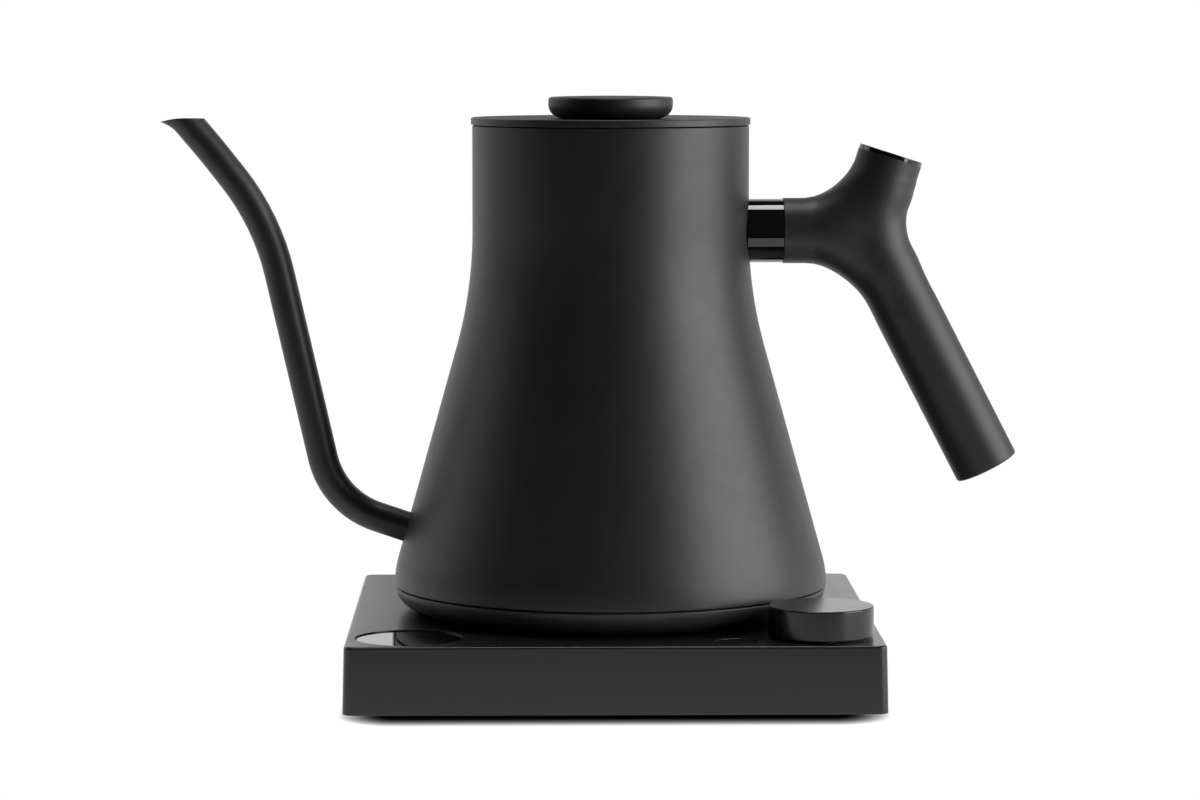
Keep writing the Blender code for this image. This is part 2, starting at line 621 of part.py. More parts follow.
def make_base_plate(materials, parent):
    flange = BASE_HALF - BASE_WALL - GAP
    plinth = BASE_HALF - PLINTH_INSET
    flange_bottom = -BASE_HEIGHT + GAP
    shape = loft([rounded_square(plinth, 6.0, PLINTH_BOTTOM), rounded_square(plinth, 6.0, flange_bottom),
                  rounded_square(flange, 1.5, flange_bottom), rounded_square(flange, 1.5, PLATE_TOP)])
    plate = add_object("base_plate", shape, materials["plastic"], parent)
    foot_roof = PLINTH_BOTTOM + 1.5
    number = 0
    for x in (-1, 1):
        for y in (-1, 1):
            number += 1
            foot_at = (x * FOOT_SPOT, y * FOOT_SPOT, 0.0)
            drill(plate, disc_profile(FOOT_R + GAP, -30.0, foot_roof), parent, foot_at)
            foot = [(0.0, -BASE_TOP), (FOOT_R - 0.5, -BASE_TOP), (FOOT_R, -BASE_TOP + 0.5),
                    (FOOT_R, foot_roof - GAP), (0.0, foot_roof - GAP)]
            turned(f"foot_{number}", foot, materials["rubber"], parent, foot_at)
            screw_at = (x * SCREW_SPOT[0], y * SCREW_SPOT[1], 0.0)
            head_z = PLINTH_BOTTOM + 2.4
            way = [(0.0, -30.0), (3.2, -30.0), (3.2, head_z), (1.8, head_z), (1.8, -10.0), (0.0, -10.0)]
            drill(plate, way, parent, screw_at, segments=12)
            screw = [(0.0, head_z - 2.0), (2.8, head_z - 2.0), (2.8, head_z - GAP), (1.4, head_z - GAP),
                     (1.4, -8.0), (0.0, -8.0)]
            turned(f"base_screw_{number}", screw, materials["iron"], parent, screw_at, segments=12)


def make_display(materials, parent):
    spot = (*DISPLAY_AT, 0.0)
    lens = [(0.0, -1.7), (DISPLAY_R - GAP, -1.7), (DISPLAY_R - GAP, -0.7), (DISPLAY_R - 0.6, -0.4),
            (0.0, -0.4)]
    turned("display_lens", lens, materials["lens"], parent, spot, segments=32)
    turned("display_panel", disc_profile(15.2, -4.2, -2.0), materials["panel"], parent, spot, segments=24)
    gasket = ring_profile(15.5, 18.2, -4.2, -BASE_ROOF - GAP)
    turned("display_gasket", gasket, materials["rubber"], parent, spot, segments=24, hole=True)


def make_boards(materials, parent):
    board_z = BOARD_TOP - BOARD_THICK
    block("main_board", (168.0, 30.0, BOARD_THICK), (0.0, -59.0, board_z), materials["board"], parent)
    block("buzzer", (12.0, 12.0, 6.0), (-24.0, -58.0, BOARD_TOP + GAP), materials["component"], parent)
    block("power_board", (124.0, 34.0, BOARD_THICK), (0.0, 61.0, -16.0), materials["board"], parent)
    power_top = -16.0 + BOARD_THICK + GAP
    block("relay", (22.0, 16.0, 10.0), (34.0, 62.0, power_top), materials["component"], parent)
    block("transformer", (28.0, 24.0, 10.5), (-34.0, 60.0, power_top), materials["component"], parent)


def make_base_connector(materials, parent):
    inner, outer = NOSE_R
    groove = (inner - 2.0, outer + 0.5)
    floor_z = NOSE_BOTTOM - 3.0
    body = [(0.0, -17.5), (CONNECTOR_R, -17.5), (CONNECTOR_R, -0.3), (groove[1], -0.3), (groove[1], floor_z),
            (groove[0], floor_z), (groove[0], -0.3), (4.2, -0.3), (4.2, -12.0), (0.0, -12.0)]
    turned("base_connector", body, materials["plastic"], parent, segments=24)
    earth = ring_profile(PIN_R + 0.4, 3.9, -11.0, -3.0)
    turned("base_earth_contact", earth, materials["brass"], parent, segments=16, hole=True)
    block("base_live_contact", (6.0, 10.0, 6.0), (27.0, 0.0, -12.0), materials["brass"], parent)


def make_controls(materials, parent, washer_parent, plunger_parent, knob_parent, menu_parent):
    body_at = (*KNOB_AT, 0.0)
    encoder_low = BOARD_TOP + GAP
    encoder = [(SHAFT_R + GAP, encoder_low), (7.0, encoder_low), (7.0, -BASE_ROOF - GAP),
               (BUSHING_R, -BASE_ROOF - GAP), (BUSHING_R, 2.6), (SHAFT_R + GAP, 2.6)]
    turned("encoder_body", encoder, materials["iron"], parent, body_at, hole=True)
    nut = ring_profile(BUSHING_R + GAP, 6.6, GAP, 2.2)
    turned("encoder_nut", nut, materials["iron"], parent, body_at, segments=12, hole=True)
    plunger = disc_profile(SHAFT_R - 0.2, -9.6, -8.3)
    turned("encoder_plunger", plunger, materials["component"], plunger_parent)
    turned("knob_shaft", disc_profile(SHAFT_R, -8.0, 7.7), materials["iron"], knob_parent)
    knob = [(0.0, 8.0), (SHAFT_R + GAP, 8.0), (SHAFT_R + GAP, 4.0), (8.0, 4.0), (8.0, KNOB_LIFT),
            (KNOB_R, KNOB_LIFT), (KNOB_R, KNOB_TOP - 0.6), (KNOB_R - 0.2, KNOB_TOP - 0.2),
            (KNOB_R - 0.6, KNOB_TOP), (0.0, KNOB_TOP)]
    turned("control_knob", knob, materials["plastic"], knob_parent, segments=28)
    button = [(0.0, -6.2), (2.0, -6.2), (2.0, -3.8), (7.6, -3.8), (7.6, -BASE_ROOF - GAP),
              (MENU_R, -BASE_ROOF - GAP), (MENU_R, -0.2), (MENU_R - 0.3, 0.1), (0.0, 0.1)]
    turned("menu_button", button, materials["plastic"], menu_parent, segments=24)
    switch_at = (*MENU_AT, encoder_low)
    block("menu_switch", (6.0, 6.0, 3.2), switch_at, materials["component"], parent)
    washer = ring_profile(NOSE_R[0] - 1.5, NOSE_R[1] + 0.1, NOSE_BOTTOM - 2.6, NOSE_BOTTOM - GAP)
    turned("connector_washer", washer, materials["plastic"], washer_parent, segments=24, hole=True)


def make_cord_gland(materials, parent):
    gland = turned("cord_gland", ring_profile(2.2, 5.0, 0.0, 5.0), materials["rubber"], parent,
                   (0.0, BASE_HALF - 5.2, -11.0), hole=True)
    lay_along(gland, Vector((0.0, 1.0, 0.0)))


def build():
    for thing in list(bpy.data.objects):
        bpy.data.objects.remove(thing, do_unlink=True)
    materials = make_materials()
    base = add_empty("base_axis", AXIS_X, 0.0, BASE_TOP)
    swivel = add_empty("swivel_axis", 0.0, 0.0, 0.0, base)
    kettle = add_empty("kettle_lift", 0.0, 0.0, 0.0, swivel)
    lid = add_empty("lid_lift", 0.0, 0.0, 0.0, kettle)
    plunger = add_empty("knob_press", *KNOB_AT, 0.0, base)
    knob = add_empty("knob_turn", 0.0, 0.0, 0.0, plunger)
    menu = add_empty("menu_press", *MENU_AT, 0.0, base)

    make_kettle_shell(materials, kettle)
    make_spout(materials, kettle)
    make_floor(materials, kettle)
    make_kettle_connector(materials, kettle)
    make_bottom_cap(materials, kettle)
    make_handle(materials, kettle)
    make_lid(materials, lid)
    make_base_cover(materials, base)
    make_base_plate(materials, base)
    make_display(materials, base)
    make_boards(materials, base)
    make_base_connector(materials, base)
    make_controls(materials, base, swivel, plunger, knob, menu)
    make_cord_gland(materials, base)


build()
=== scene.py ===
"""Looks for the electric gooseneck kettle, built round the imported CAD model.

Lengths are in millimetres, as in the CAD source, and add_piece turns them into metres. Heights are measured
from the top face of the base and distances across from the kettle's upright axis. +X is the handle's side,
-X the spout's, -Y the front.
"""

import json
from math import asin, copysign, cos, degrees, hypot, pi, radians, sin, tan, tau

import bmesh
import bpy
from mathutils import Matrix, Vector


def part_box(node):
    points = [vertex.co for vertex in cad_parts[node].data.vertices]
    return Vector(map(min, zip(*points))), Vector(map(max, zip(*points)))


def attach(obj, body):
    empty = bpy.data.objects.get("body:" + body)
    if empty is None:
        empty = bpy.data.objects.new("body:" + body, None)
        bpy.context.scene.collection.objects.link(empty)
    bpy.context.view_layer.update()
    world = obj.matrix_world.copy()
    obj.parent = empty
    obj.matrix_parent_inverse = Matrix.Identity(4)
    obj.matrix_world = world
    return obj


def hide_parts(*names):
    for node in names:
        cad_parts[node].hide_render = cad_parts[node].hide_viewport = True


MM = 0.001
HAIRLINE = 0.03               # air left where one piece rests on another
WHITE = (1.0, 1.0, 1.0, 1.0)

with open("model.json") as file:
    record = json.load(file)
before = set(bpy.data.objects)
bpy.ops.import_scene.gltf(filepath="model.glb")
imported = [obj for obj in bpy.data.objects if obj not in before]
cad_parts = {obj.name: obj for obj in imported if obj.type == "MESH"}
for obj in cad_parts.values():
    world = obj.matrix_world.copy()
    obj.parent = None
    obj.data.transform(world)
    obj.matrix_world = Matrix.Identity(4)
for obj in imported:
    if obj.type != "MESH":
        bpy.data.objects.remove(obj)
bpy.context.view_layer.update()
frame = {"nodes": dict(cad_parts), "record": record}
scene = bpy.context.scene


def middle(node):
    low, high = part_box(node)
    return (low + high) / 2


ORIGIN = Vector((middle("lid_plate").x, 0.0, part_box("base_cover")[1].z))


def reach(node):
    """Lowest and highest corner of a CAD node, in millimetres from the origin."""
    low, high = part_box(node)
    return (low - ORIGIN) / MM, (high - ORIGIN) / MM


def spot(node):
    """Where a CAD node stands on the base."""
    centre = (middle(node) - ORIGIN) / MM
    return (centre.x, centre.y, 0.0)


# Kettle body
SHELL_WALL = 1.0
RIM_Z = reach("kettle_shell")[1].z
SHELL_BOTTOM = reach("kettle_shell")[0].z
NECK_R = 47.75
FLARE_START = 132.4           # the neck is straight above this height
FLARE_R = 152.0
CONE_ANGLE = radians(15.6)
CHINE_START = 18.5            # the cone is straight above this height
CHINE_R = 36.0
BODY_SEGMENTS = 160
CONE_ROWS = 22
SHELL_LIP = 0.4               # height of the rounding along the body's bottom edge
CAP_TOP = SHELL_BOTTOM - 0.4  # the seam that shows between the body and the underside
CAP_BOTTOM = reach("bottom_cap")[0].z
CAP_R = reach("bottom_cap")[1].x
CAP_FOOT_R = 63.6
CAP_WALL = 2.0
CAP_HOLE_R = 18.3
CAP_LEDGE = 6.0               # height where the bowl's wall thins towards its rim
SEAM_SEAL_INNER_R = 71.6

# Spout: the corners of its centreline as (x, z), and the bend radius at each corner
SPOUT_R = 5.21
SPOUT_WALL = 1.2
SPOUT_START = (-68.6, 28.0)
SPOUT_CORNERS = (((-96.3, 37.4), 28.5), ((-118.6, 135.3), 84.0), ((-137.15, 159.0), 200.0))
SPOUT_MOUTH = (-146.7, 170.35)
SPOUT_LIP = (1.6, 1.2)        # how far the pouring lip is drawn out and down
MOUTH_HEIGHT = 4.6            # height over which the tube's end turns level
SPOUT_SEGMENTS = 48
PORT_R = SPOUT_R + 0.4
PORT_ROWS = 6                 # rows and columns of the body's mesh that the port's patch takes up
PORT_COLUMNS = 8
PORT_COLUMN = BODY_SEGMENTS // 2 - PORT_COLUMNS // 2

# Handle: three round limbs in the XZ plane that meet in one point
LIMB_R = 11.3
LIMB_BORE_R = 8.6
LIMB_PLUG_R = 8.3
HUB = Vector((88.45, 0.0, 131.6))
FRONT = Vector((0.0, -1.0, 0.0))
COLLAR_START = 47.0           # inside the body's wall, which the collar is cut to
COLLAR_BORE_R = 5.9
COLLAR_R = 11.05
COLLAR_END = reach("handle_collar")[1].x
COLLAR_GAP = 0.05             # between the collar and the body, and the collar and the arm
ARM_START = COLLAR_END + COLLAR_GAP
STUB_ANGLE = radians(72.3)
STUB_LENGTH = 28.1
STUB_CAP = 1.6                # thickness of the stub's cap
GRIP_ANGLE = radians(-62.7)
GRIP_LENGTH = 92.6
SPINE_BEND = 33.0             # centreline radius where the stub runs into the grip
FILLET = 14.5                 # between the arm and the other two limbs
FILLET_SPREAD = 0.5           # the limbs' surfaces face at least this far apart where the fillet is full
HANDLE_SEGMENTS = 56
BLEND_ROWS = 18               # rings of each limb from the hub to where it is plainly round

# Lid
LID_R = reach("lid_plate")[1].x
LID_TOP = reach("lid_plate")[1].z
LID_BOTTOM = reach("lid_plate")[0].z
LID_DISH = 0.5                # how far the lid's top falls towards the knob
LID_KNOB_R = reach("lid_knob")[1].x
LID_KNOB_TOP = reach("lid_knob")[1].z
LID_KNOB_FOOT_R = 14.9
LID_KNOB_BELLY = 175.2        # height where the knob is widest

# Base
BASE_HALF = 89.0
BASE_DRAFT = 0.5              # how much further out each side stands at the bottom
BASE_BOTTOM = reach("base_cover")[0].z
BASE_CORNER = 3.0
BASE_EDGE = 0.8               # rounding of the housing's top edge
BASE_LOW_EDGE = 0.25
BASE_INNER_CORNER = 1.5
BASE_WALL = 2.2
BASE_ROOF = 2.5
PLINTH_HALF = 78.0
PLINTH_CORNER = 6.0
SHADE_WIDTH = 15.0            # how far the floor's shade reaches out from the plinth
SHADE_INSET = 2.25            # how far inside the plinth's edge it is darkest
PLINTH_BOTTOM = reach("base_plate")[0].z
PLATE_TOP = reach("base_plate")[1].z
CONNECTOR_R = 20.3
DISPLAY_AT = spot("display_lens")
DISPLAY_R = 17.8
KNOB_AT = spot("control_knob")
KNOB_R = (reach("control_knob")[1].x - reach("control_knob")[0].x) / 2
KNOB_TOP = reach("control_knob")[1].z
KNOB_BOTTOM = reach("control_knob")[0].z
KNOB_HOLE_R = 4.5             # the hole in the base for the knob's shaft
MENU_AT = spot("menu_button")
MENU_R = 6.4
MENU_GAP = 0.35               # between the menu key and the edge of its hole
MENU_DROP = 0.35              # how far the menu key sits below the base's top
GLAND_R = 5.3                 # radius of the hole for the cord gland
GLAND_Z = -11.0


# ---- materials

def add_node(tree, kind, inputs=None, **settings):
    """Add a shader node. Each input gets a constant or another node's output."""
    node = tree.nodes.new("ShaderNode" + kind)
    for name, value in settings.items():
        setattr(node, name, value)
    for name, value in (inputs or {}).items():
        if isinstance(value, bpy.types.NodeSocket):
            tree.links.new(value, node.inputs[name])
        else:
            node.inputs[name].default_value = value
    return node


def noise_range(tree, coordinates, size, low, high, detail=3.0):
    """A cloudy value between low and high with blotches of a size in millimetres."""
    noise = add_node(tree, "TexNoise", {"Vector": coordinates, "Scale": 1.0 / (size * MM), "Detail": detail})
    return add_node(tree, "MapRange", {"Value": noise.outputs["Fac"], "From Min": 0.3, "From Max": 0.7,
                                       "To Min": low, "To Max": high}).outputs["Result"]


def tint(colour, factor, lift=0.0):
    return (*[min(1.0, c * factor + lift) for c in colour], 1.0)


def surface(name, colour, roughness, metallic=0.0, spread=0.04, mottle=0.12, mottle_size=14.0,
            grain=(0.35, 0.02), stretch=(1.0, 1.0, 1.0), wear=0.0, coat=0.0, sheen=0.0):
    """A material with blotches in its colour and roughness, a raised grain, and paler worn edges.

    The grain is its size and its depth in millimetres. Stretch draws the grain out along an axis.
    """
    material = bpy.data.materials.new(name)
    material.use_nodes = True
    material.diffuse_color = (*colour, 1.0)
    tree = material.node_tree
    shader = tree.nodes["Principled BSDF"]
    for socket, value in (("Metallic", metallic), ("Coat Weight", coat), ("Coat Roughness", 0.03),
                          ("Sheen Weight", sheen), ("Sheen Roughness", 0.4)):
        shader.inputs[socket].default_value = value
    place = add_node(tree, "TexCoord").outputs["Object"]
    shares = noise_range(tree, place, mottle_size, 0.0, 1.0)
    base = add_node(tree, "Mix", data_type="RGBA", inputs={
        "Factor": shares, "A": tint(colour, 1 - mottle), "B": tint(colour, 1 + mottle)})
    if wear:
        pointiness = add_node(tree, "NewGeometry").outputs["Pointiness"]
        edges = add_node(tree, "MapRange", {"Value": pointiness, "From Min": 0.53, "From Max": 0.62,
                                            "To Max": wear})
        base = add_node(tree, "Mix", data_type="RGBA", inputs={
            "Factor": edges.outputs["Result"], "A": base.outputs["Result"], "B": tint(colour, 3, 0.02)})
    rough = noise_range(tree, place, mottle_size * 0.4, roughness - spread, roughness + spread)
    mapping = add_node(tree, "Mapping", {"Vector": place, "Scale": stretch})
    height = noise_range(tree, mapping.outputs["Vector"], grain[0], 0.0, 1.0, detail=1.0)
    bump = add_node(tree, "Bump", {"Height": height, "Distance": grain[1] * MM})
    for socket, result in (("Base Color", base.outputs["Result"]), ("Roughness", rough),
                           ("Normal", bump.outputs["Normal"])):
        tree.links.new(result, shader.inputs[socket])
    return material


def make_materials():
    return {
        "coated_steel": surface("powder_coat", (0.011, 0.011, 0.0113), 0.44, spread=0.02,
                                grain=(0.3, 0.003), wear=0.3),
        # The bowl's finish is the black moulding made paler: painted fill light that lifts the shade under
        # the body.
        "bowl_moulding_painted_fill": surface("bowl_plastic_painted_fill", (0.032, 0.032, 0.0325), 0.47, spread=0.015,
                                 grain=(0.25, 0.003)),
        "black_moulding": surface("moulded_plastic", (0.013, 0.013, 0.0133), 0.47, spread=0.015,
                                  grain=(0.25, 0.003), wear=0.3),
        "satin_moulding": surface("satin_plastic", (0.0105, 0.0105, 0.0108), 0.286, spread=0.01, mottle=0.06,
                                  mottle_size=40.0, grain=(0.25, 0.002), wear=0.3),
        "knob_moulding": surface("knob_plastic", (0.009, 0.009, 0.0093), 0.23, spread=0.01, mottle=0.06,
                                 mottle_size=40.0, grain=(0.25, 0.0015), wear=0.3),
        "gloss_black": surface("gloss_plastic", (0.005, 0.005, 0.0054), 0.03, spread=0.01, mottle=0.05,
                               grain=(2.5, 0.0003), coat=0.3),
        "smoked_window": surface("smoked_glass", (0.005, 0.005, 0.006), 0.012, spread=0.004, mottle=0.1,
                                 grain=(5.0, 0.0001)),
        "display": surface("display_glass", (0.012, 0.013, 0.015), 0.2, grain=(0.8, 0.002)),
        "black_rubber": surface("black_rubber", (0.016, 0.016, 0.016), 0.75, grain=(0.15, 0.02), mottle=0.3,
                                mottle_size=4.0, sheen=0.05),
        "silicone": surface("grey_silicone", (0.24, 0.24, 0.235), 0.5, grain=(0.5, 0.008), sheen=0.1),
        "stainless": surface("brushed_stainless", (0.60, 0.60, 0.59), 0.28, metallic=1.0, spread=0.08,
                             mottle=0.06, grain=(0.12, 0.002), stretch=(1.0, 1.0, 0.06)),
        "aluminium": surface("cast_aluminium", (0.76, 0.76, 0.77), 0.42, metallic=1.0, spread=0.1,
                             mottle=0.08, mottle_size=6.0, grain=(0.4, 0.012)),
        "brass": surface("plated_brass", (0.76, 0.56, 0.24), 0.3, metallic=1.0, spread=0.08, mottle=0.15,
                         mottle_size=3.0, grain=(0.1, 0.002), stretch=(1.0, 1.0, 0.1)),
        "zinc_steel": surface("zinc_plate", (0.47, 0.48, 0.49), 0.4, metallic=1.0, spread=0.12, mottle=0.18,
                              mottle_size=2.5, grain=(0.12, 0.003)),
        "circuit_board": surface("solder_mask", (0.02, 0.13, 0.055), 0.35, mottle=0.35, mottle_size=2.2,
                                 grain=(0.6, 0.01), coat=0.2),
        "component": surface("component_plastic", (0.035, 0.035, 0.04), 0.5, grain=(0.2, 0.01), mottle=0.2),
    }


# ---- mesh tools

def add_object(name, shape, place):
    """Put a bmesh in millimetres into the scene as a mesh in metres."""
    bmesh.ops.recalc_face_normals(shape, faces=shape.faces[:])
    bmesh.ops.transform(shape, matrix=place @ Matrix.Scale(MM, 4), verts=shape.verts[:])
    mesh = bpy.data.meshes.new(name)
    shape.to_mesh(mesh)
    shape.free()
    added = bpy.data.objects.new(name, mesh)
    scene.collection.objects.link(added)
    return added


def add_piece(name, shape, slot, body, replaced, at=(0.0, 0.0, 0.0), direction=None, finish=None):
    """Turn a bmesh in millimetres into a piece that rides on a body and stands for CAD nodes."""
    place = Matrix.Translation(ORIGIN + Vector(at) * MM)
    if direction is not None:
        place = place @ Vector((0.0, 0.0, 1.0)).rotation_difference(direction).to_matrix().to_4x4()
    piece = add_object(name, shape, place)
    piece.data.shade_smooth()
    piece.data.set_sharp_from_angle(angle=radians(32))
    piece.data.materials.append(materials[finish or slot])
    normals = piece.modifiers.new("weighted_normals", "WEIGHTED_NORMAL")
    normals.keep_sharp = True
    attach(piece, body)
    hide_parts(*replaced)
    return piece


def bridge(shape, ring, next_ring, skip=()):
    """Join two rings of the same number of points; a ring may be one point, repeated."""
    for i in range(len(ring)):
        if i in skip:
            continue
        j = (i + 1) % len(ring)
        corners = list(dict.fromkeys((ring[i], ring[j], next_ring[j], next_ring[i])))
        if len(corners) > 2:
            shape.faces.new(corners)


def arc(centre, radius, start, end, steps):
    """Points on an arc; the angles are in radians and the ends are included."""
    angles = [start + (end - start) * i / steps for i in range(steps + 1)]
    return [(centre[0] + radius * cos(a), centre[1] + radius * sin(a)) for a in angles]


def between(start, end, count):
    """Evenly spaced points between two ends that aren't included."""
    return [tuple(Vector(start).lerp(Vector(end), i / (count + 1))) for i in range(1, count + 1)]


def rounded(corners, closed=False, steps=5):
    """An outline from (across, up, rounding radius) corners."""
    points = []
    for i, (across, up, radius) in enumerate(corners):
        here = Vector((across, up))
        if radius == 0.0 or (not closed and i in (0, len(corners) - 1)):
            points.append((across, up))
            continue
        arriving = (here - Vector(corners[i - 1][:2])).normalized()
        leaving = (Vector(corners[(i + 1) % len(corners)][:2]) - here).normalized()
        turn = abs(arriving.angle_signed(leaving))
        setback = radius * tan(turn / 2)
        centre = here + (leaving - arriving).normalized() * radius / cos(turn / 2)
        first = here - arriving * setback - centre
        last = here + leaving * setback - centre
        for step in range(steps + 1):
            points.append(tuple(centre + first.slerp(last, step / steps).normalized() * radius))
    return points


def full_turn(segments):
    return [tau * i / segments for i in range(segments)]


def quarter_turn(steps):
    return [pi / 2 * i / steps for i in range(steps + 1)]


def circle(centre, radius, height, segments):
    return [(centre[0] + radius * cos(a), centre[1] + radius * sin(a), height)
            for a in full_turn(segments)]


def circles(profile, segments, centre=(0.0, 0.0)):
    """A circle for each (radius, height) of a profile."""
    return [circle(centre, radius, height, segments) for radius, height in profile]


def turned_shape(profile, segments, hole=False):
    """Turn (radius, height) points about Z. A profile round a hole is a closed loop."""
    shape = bmesh.new()
    rings = []
    for radius, height in profile:
        if radius == 0.0:
            rings.append([shape.verts.new((0.0, 0.0, height))] * segments)
        else:
            rings.append([shape.verts.new(point) for point in circle((0.0, 0.0), radius, height, segments)])
    for ring, next_ring in zip(rings, rings[1:]):
        bridge(shape, ring, next_ring)
    if hole:
        bridge(shape, rings[-1], rings[0])
    return shape


def loft(loops):
    """Join loops of points in turn, and the last of them with the first."""
    shape = bmesh.new()
    first, last = chain(shape, loops)
    bridge(shape, last, first)
    return shape


def add_turned(name, corners, slot, body, node, segments, closed=False, steps=5, **placing):
    """Add a turned piece from (radius, height, rounding) corners. A closed outline runs round a hole."""
    shape = turned_shape(rounded(corners, closed, steps), segments, hole=closed)
    return add_piece(name, shape, slot, body, [node], **placing)


def add_ring(name, inner, edge, slot, body, node, segments):
    """Add a ring of square section that reaches as far up, down and out as a CAD node."""
    low, high = reach(node)
    corners = [(inner, low.z, edge), (inner, high.z, edge), (high.x, high.z, edge), (high.x, low.z, edge)]
    add_turned(name, corners, slot, body, node, segments, closed=True)


def rounded_square(half, radius, height, steps=10):
    corner = half - radius
    quarter = pi / 2
    centres = ((corner, corner), (-corner, corner), (-corner, -corner), (corner, -corner))
    return [(x, y, height) for turn, centre in enumerate(centres)
            for x, y in arc(centre, radius, turn * quarter, turn * quarter + quarter, steps)]


def fill_flat(shape, rings):
    """Fill the flat region between closed rings of vertices: an outline and the holes in it."""
    edges = [shape.edges.get(ends) or shape.edges.new(ends)
             for ring in rings for ends in zip(ring, ring[1:] + ring[:1])]
    bmesh.ops.triangle_fill(shape, use_beauty=True, use_dissolve=False, edges=edges)


def chain(shape, loops):
    """Join loops of points in turn and return the first and last rings of vertices."""
    rings = [[shape.verts.new(point) for point in loop] for loop in loops]
    for ring, next_ring in zip(rings, rings[1:]):
        bridge(shape, ring, next_ring)
    return rings[0], rings[-1]


def cut(piece, shape):
    """Cut a shape in millimetres out of a piece that is already in place."""
    tool = add_object("cutter", shape, Matrix.Translation(ORIGIN))
    modifier = piece.modifiers.new("cut", "BOOLEAN")
    modifier.operation = "DIFFERENCE"
    modifier.solver = "EXACT"
    modifier.object = tool
    piece.modifiers.move(len(piece.modifiers) - 1, 0)
    normals = piece.modifiers["weighted_normals"]
    normals.show_viewport = False
    bpy.context.view_layer.update()
    result = bpy.data.meshes.new_from_object(piece.evaluated_get(bpy.context.evaluated_depsgraph_get()))
    normals.show_viewport = True
    piece.modifiers.remove(modifier)
    piece.data = result
    bpy.data.objects.remove(tool)


# ---- kettle body

def cone_radius(height):
    flare_end = FLARE_START - FLARE_R * sin(CONE_ANGLE)
    flare_end_radius = NECK_R + FLARE_R * (1 - cos(CONE_ANGLE))
    return flare_end_radius + (flare_end - height) * tan(CONE_ANGLE)


def body_outline(inset):
    """The body's wall from below the rim to the bottom edge, moved inwards by an inset."""
    flare = arc((NECK_R + FLARE_R, FLARE_START), FLARE_R + inset, pi, pi + CONE_ANGLE, 24)
    centre_r = cone_radius(CHINE_START) - CHINE_R * cos(CONE_ANGLE)
    centre_z = CHINE_START - CHINE_R * sin(CONE_ANGLE)
    chine_end = asin((SHELL_BOTTOM + SHELL_LIP - centre_z) / CHINE_R)
    chine = arc((centre_r, centre_z), CHINE_R - inset, CONE_ANGLE, chine_end, 8)
    neck_top = (NECK_R - inset, RIM_Z - 0.6)
    neck = [neck_top] + between(neck_top, flare[0], 7)
    return neck + flare + between(flare[-1], chine[0], CONE_ROWS - 1) + chine


def on_wall(angle, height, inset):
    radius = cone_radius(height) - inset / cos(CONE_ANGLE)
    return (radius * cos(angle), radius * sin(angle), height)


def port_patch(shape, rings, heights, inset):
    """Fill a block of the wall's mesh round the spout's port and return the port's ring."""
    rows, columns = PORT_ROWS, PORT_COLUMNS
    walk = [(0, c) for c in range(columns)] + [(r, columns) for r in range(rows)]
    walk += [(rows, c) for c in range(columns, 0, -1)] + [(r, 0) for r in range(rows, 0, -1)]
    port_z = port_height()
    border, middle_ring, port = [], [], []
    for row, column in walk:
        border.append(rings[row][PORT_COLUMN + column])
        side = tau * (PORT_COLUMN + column) / BODY_SEGMENTS - pi
        rise = heights[row] - port_z
        around = cone_radius(port_z)
        length = hypot(side * around, rise)
        hole_side, hole_rise = side * PORT_R / length, rise * PORT_R / length
        middle_ring.append(shape.verts.new(on_wall(pi + (side + hole_side) / 2,
                                                   port_z + (rise + hole_rise) / 2, inset)))
        port.append(shape.verts.new(on_wall(pi + hole_side, port_z + hole_rise, inset)))
    bridge(shape, border, middle_ring)
    bridge(shape, middle_ring, port)
    return port


def port_height():
    """The height where the spout's straight root goes through the body's wall."""
    start, corner = Vector(SPOUT_START), Vector(SPOUT_CORNERS[0][0])
    along = (corner - start).normalized()
    point = start
    for _ in range(8):
        point = point - along * (-point.x - cone_radius(point.y)) / (-along.x)
    return point.y


def make_body():
    """The steel body: a turned wall with a rolled rim, a rounded bottom edge and a port for the spout."""
    outside, inside = body_outline(0.0), body_outline(SHELL_WALL)
    roll = SHELL_WALL * 0.5
    rim = arc((NECK_R - roll, RIM_Z - roll), roll, pi, 0.0, 8)
    foot = (outside[-1][0] - roll, SHELL_BOTTOM + SHELL_LIP)
    bottom = [(foot[0] + roll * cos(a), foot[1] - SHELL_LIP * sin(a))
              for a in [pi * i / 6 for i in range(1, 6)]]
    profile = inside[::-1] + rim[1:-1] + outside + bottom
    shape = bmesh.new()
    rings = [[shape.verts.new(point) for point in loop]
             for loop in circles(profile, BODY_SEGMENTS)]
    rows_below = 9            # rings of each wall up to the foot of the port's block
    inner_last = rows_below - 1 + PORT_ROWS
    inner_rows = list(range(inner_last, rows_below - 2, -1))
    outer_first = len(inside) + len(rim) - 2 + len(outside) - rows_below - PORT_ROWS
    outer_rows = list(range(outer_first, outer_first + PORT_ROWS + 1))
    block = set(range(PORT_COLUMN, PORT_COLUMN + PORT_COLUMNS))
    holed = set(inner_rows[1:]) | set(outer_rows[:-1])
    for row in range(len(rings)):
        skip = block if row in holed else ()
        bridge(shape, rings[row], rings[(row + 1) % len(rings)], skip)
    ports = []
    for rows, inset in ((outer_rows, 0.0), (inner_rows, SHELL_WALL)):
        heights = [profile[row][1] for row in rows]
        ports.append(port_patch(shape, [rings[row] for row in rows], heights, inset))
    bridge(shape, *ports)
    add_piece("kettle_body", shape, "coated_steel", "kettle", ["kettle_shell"])


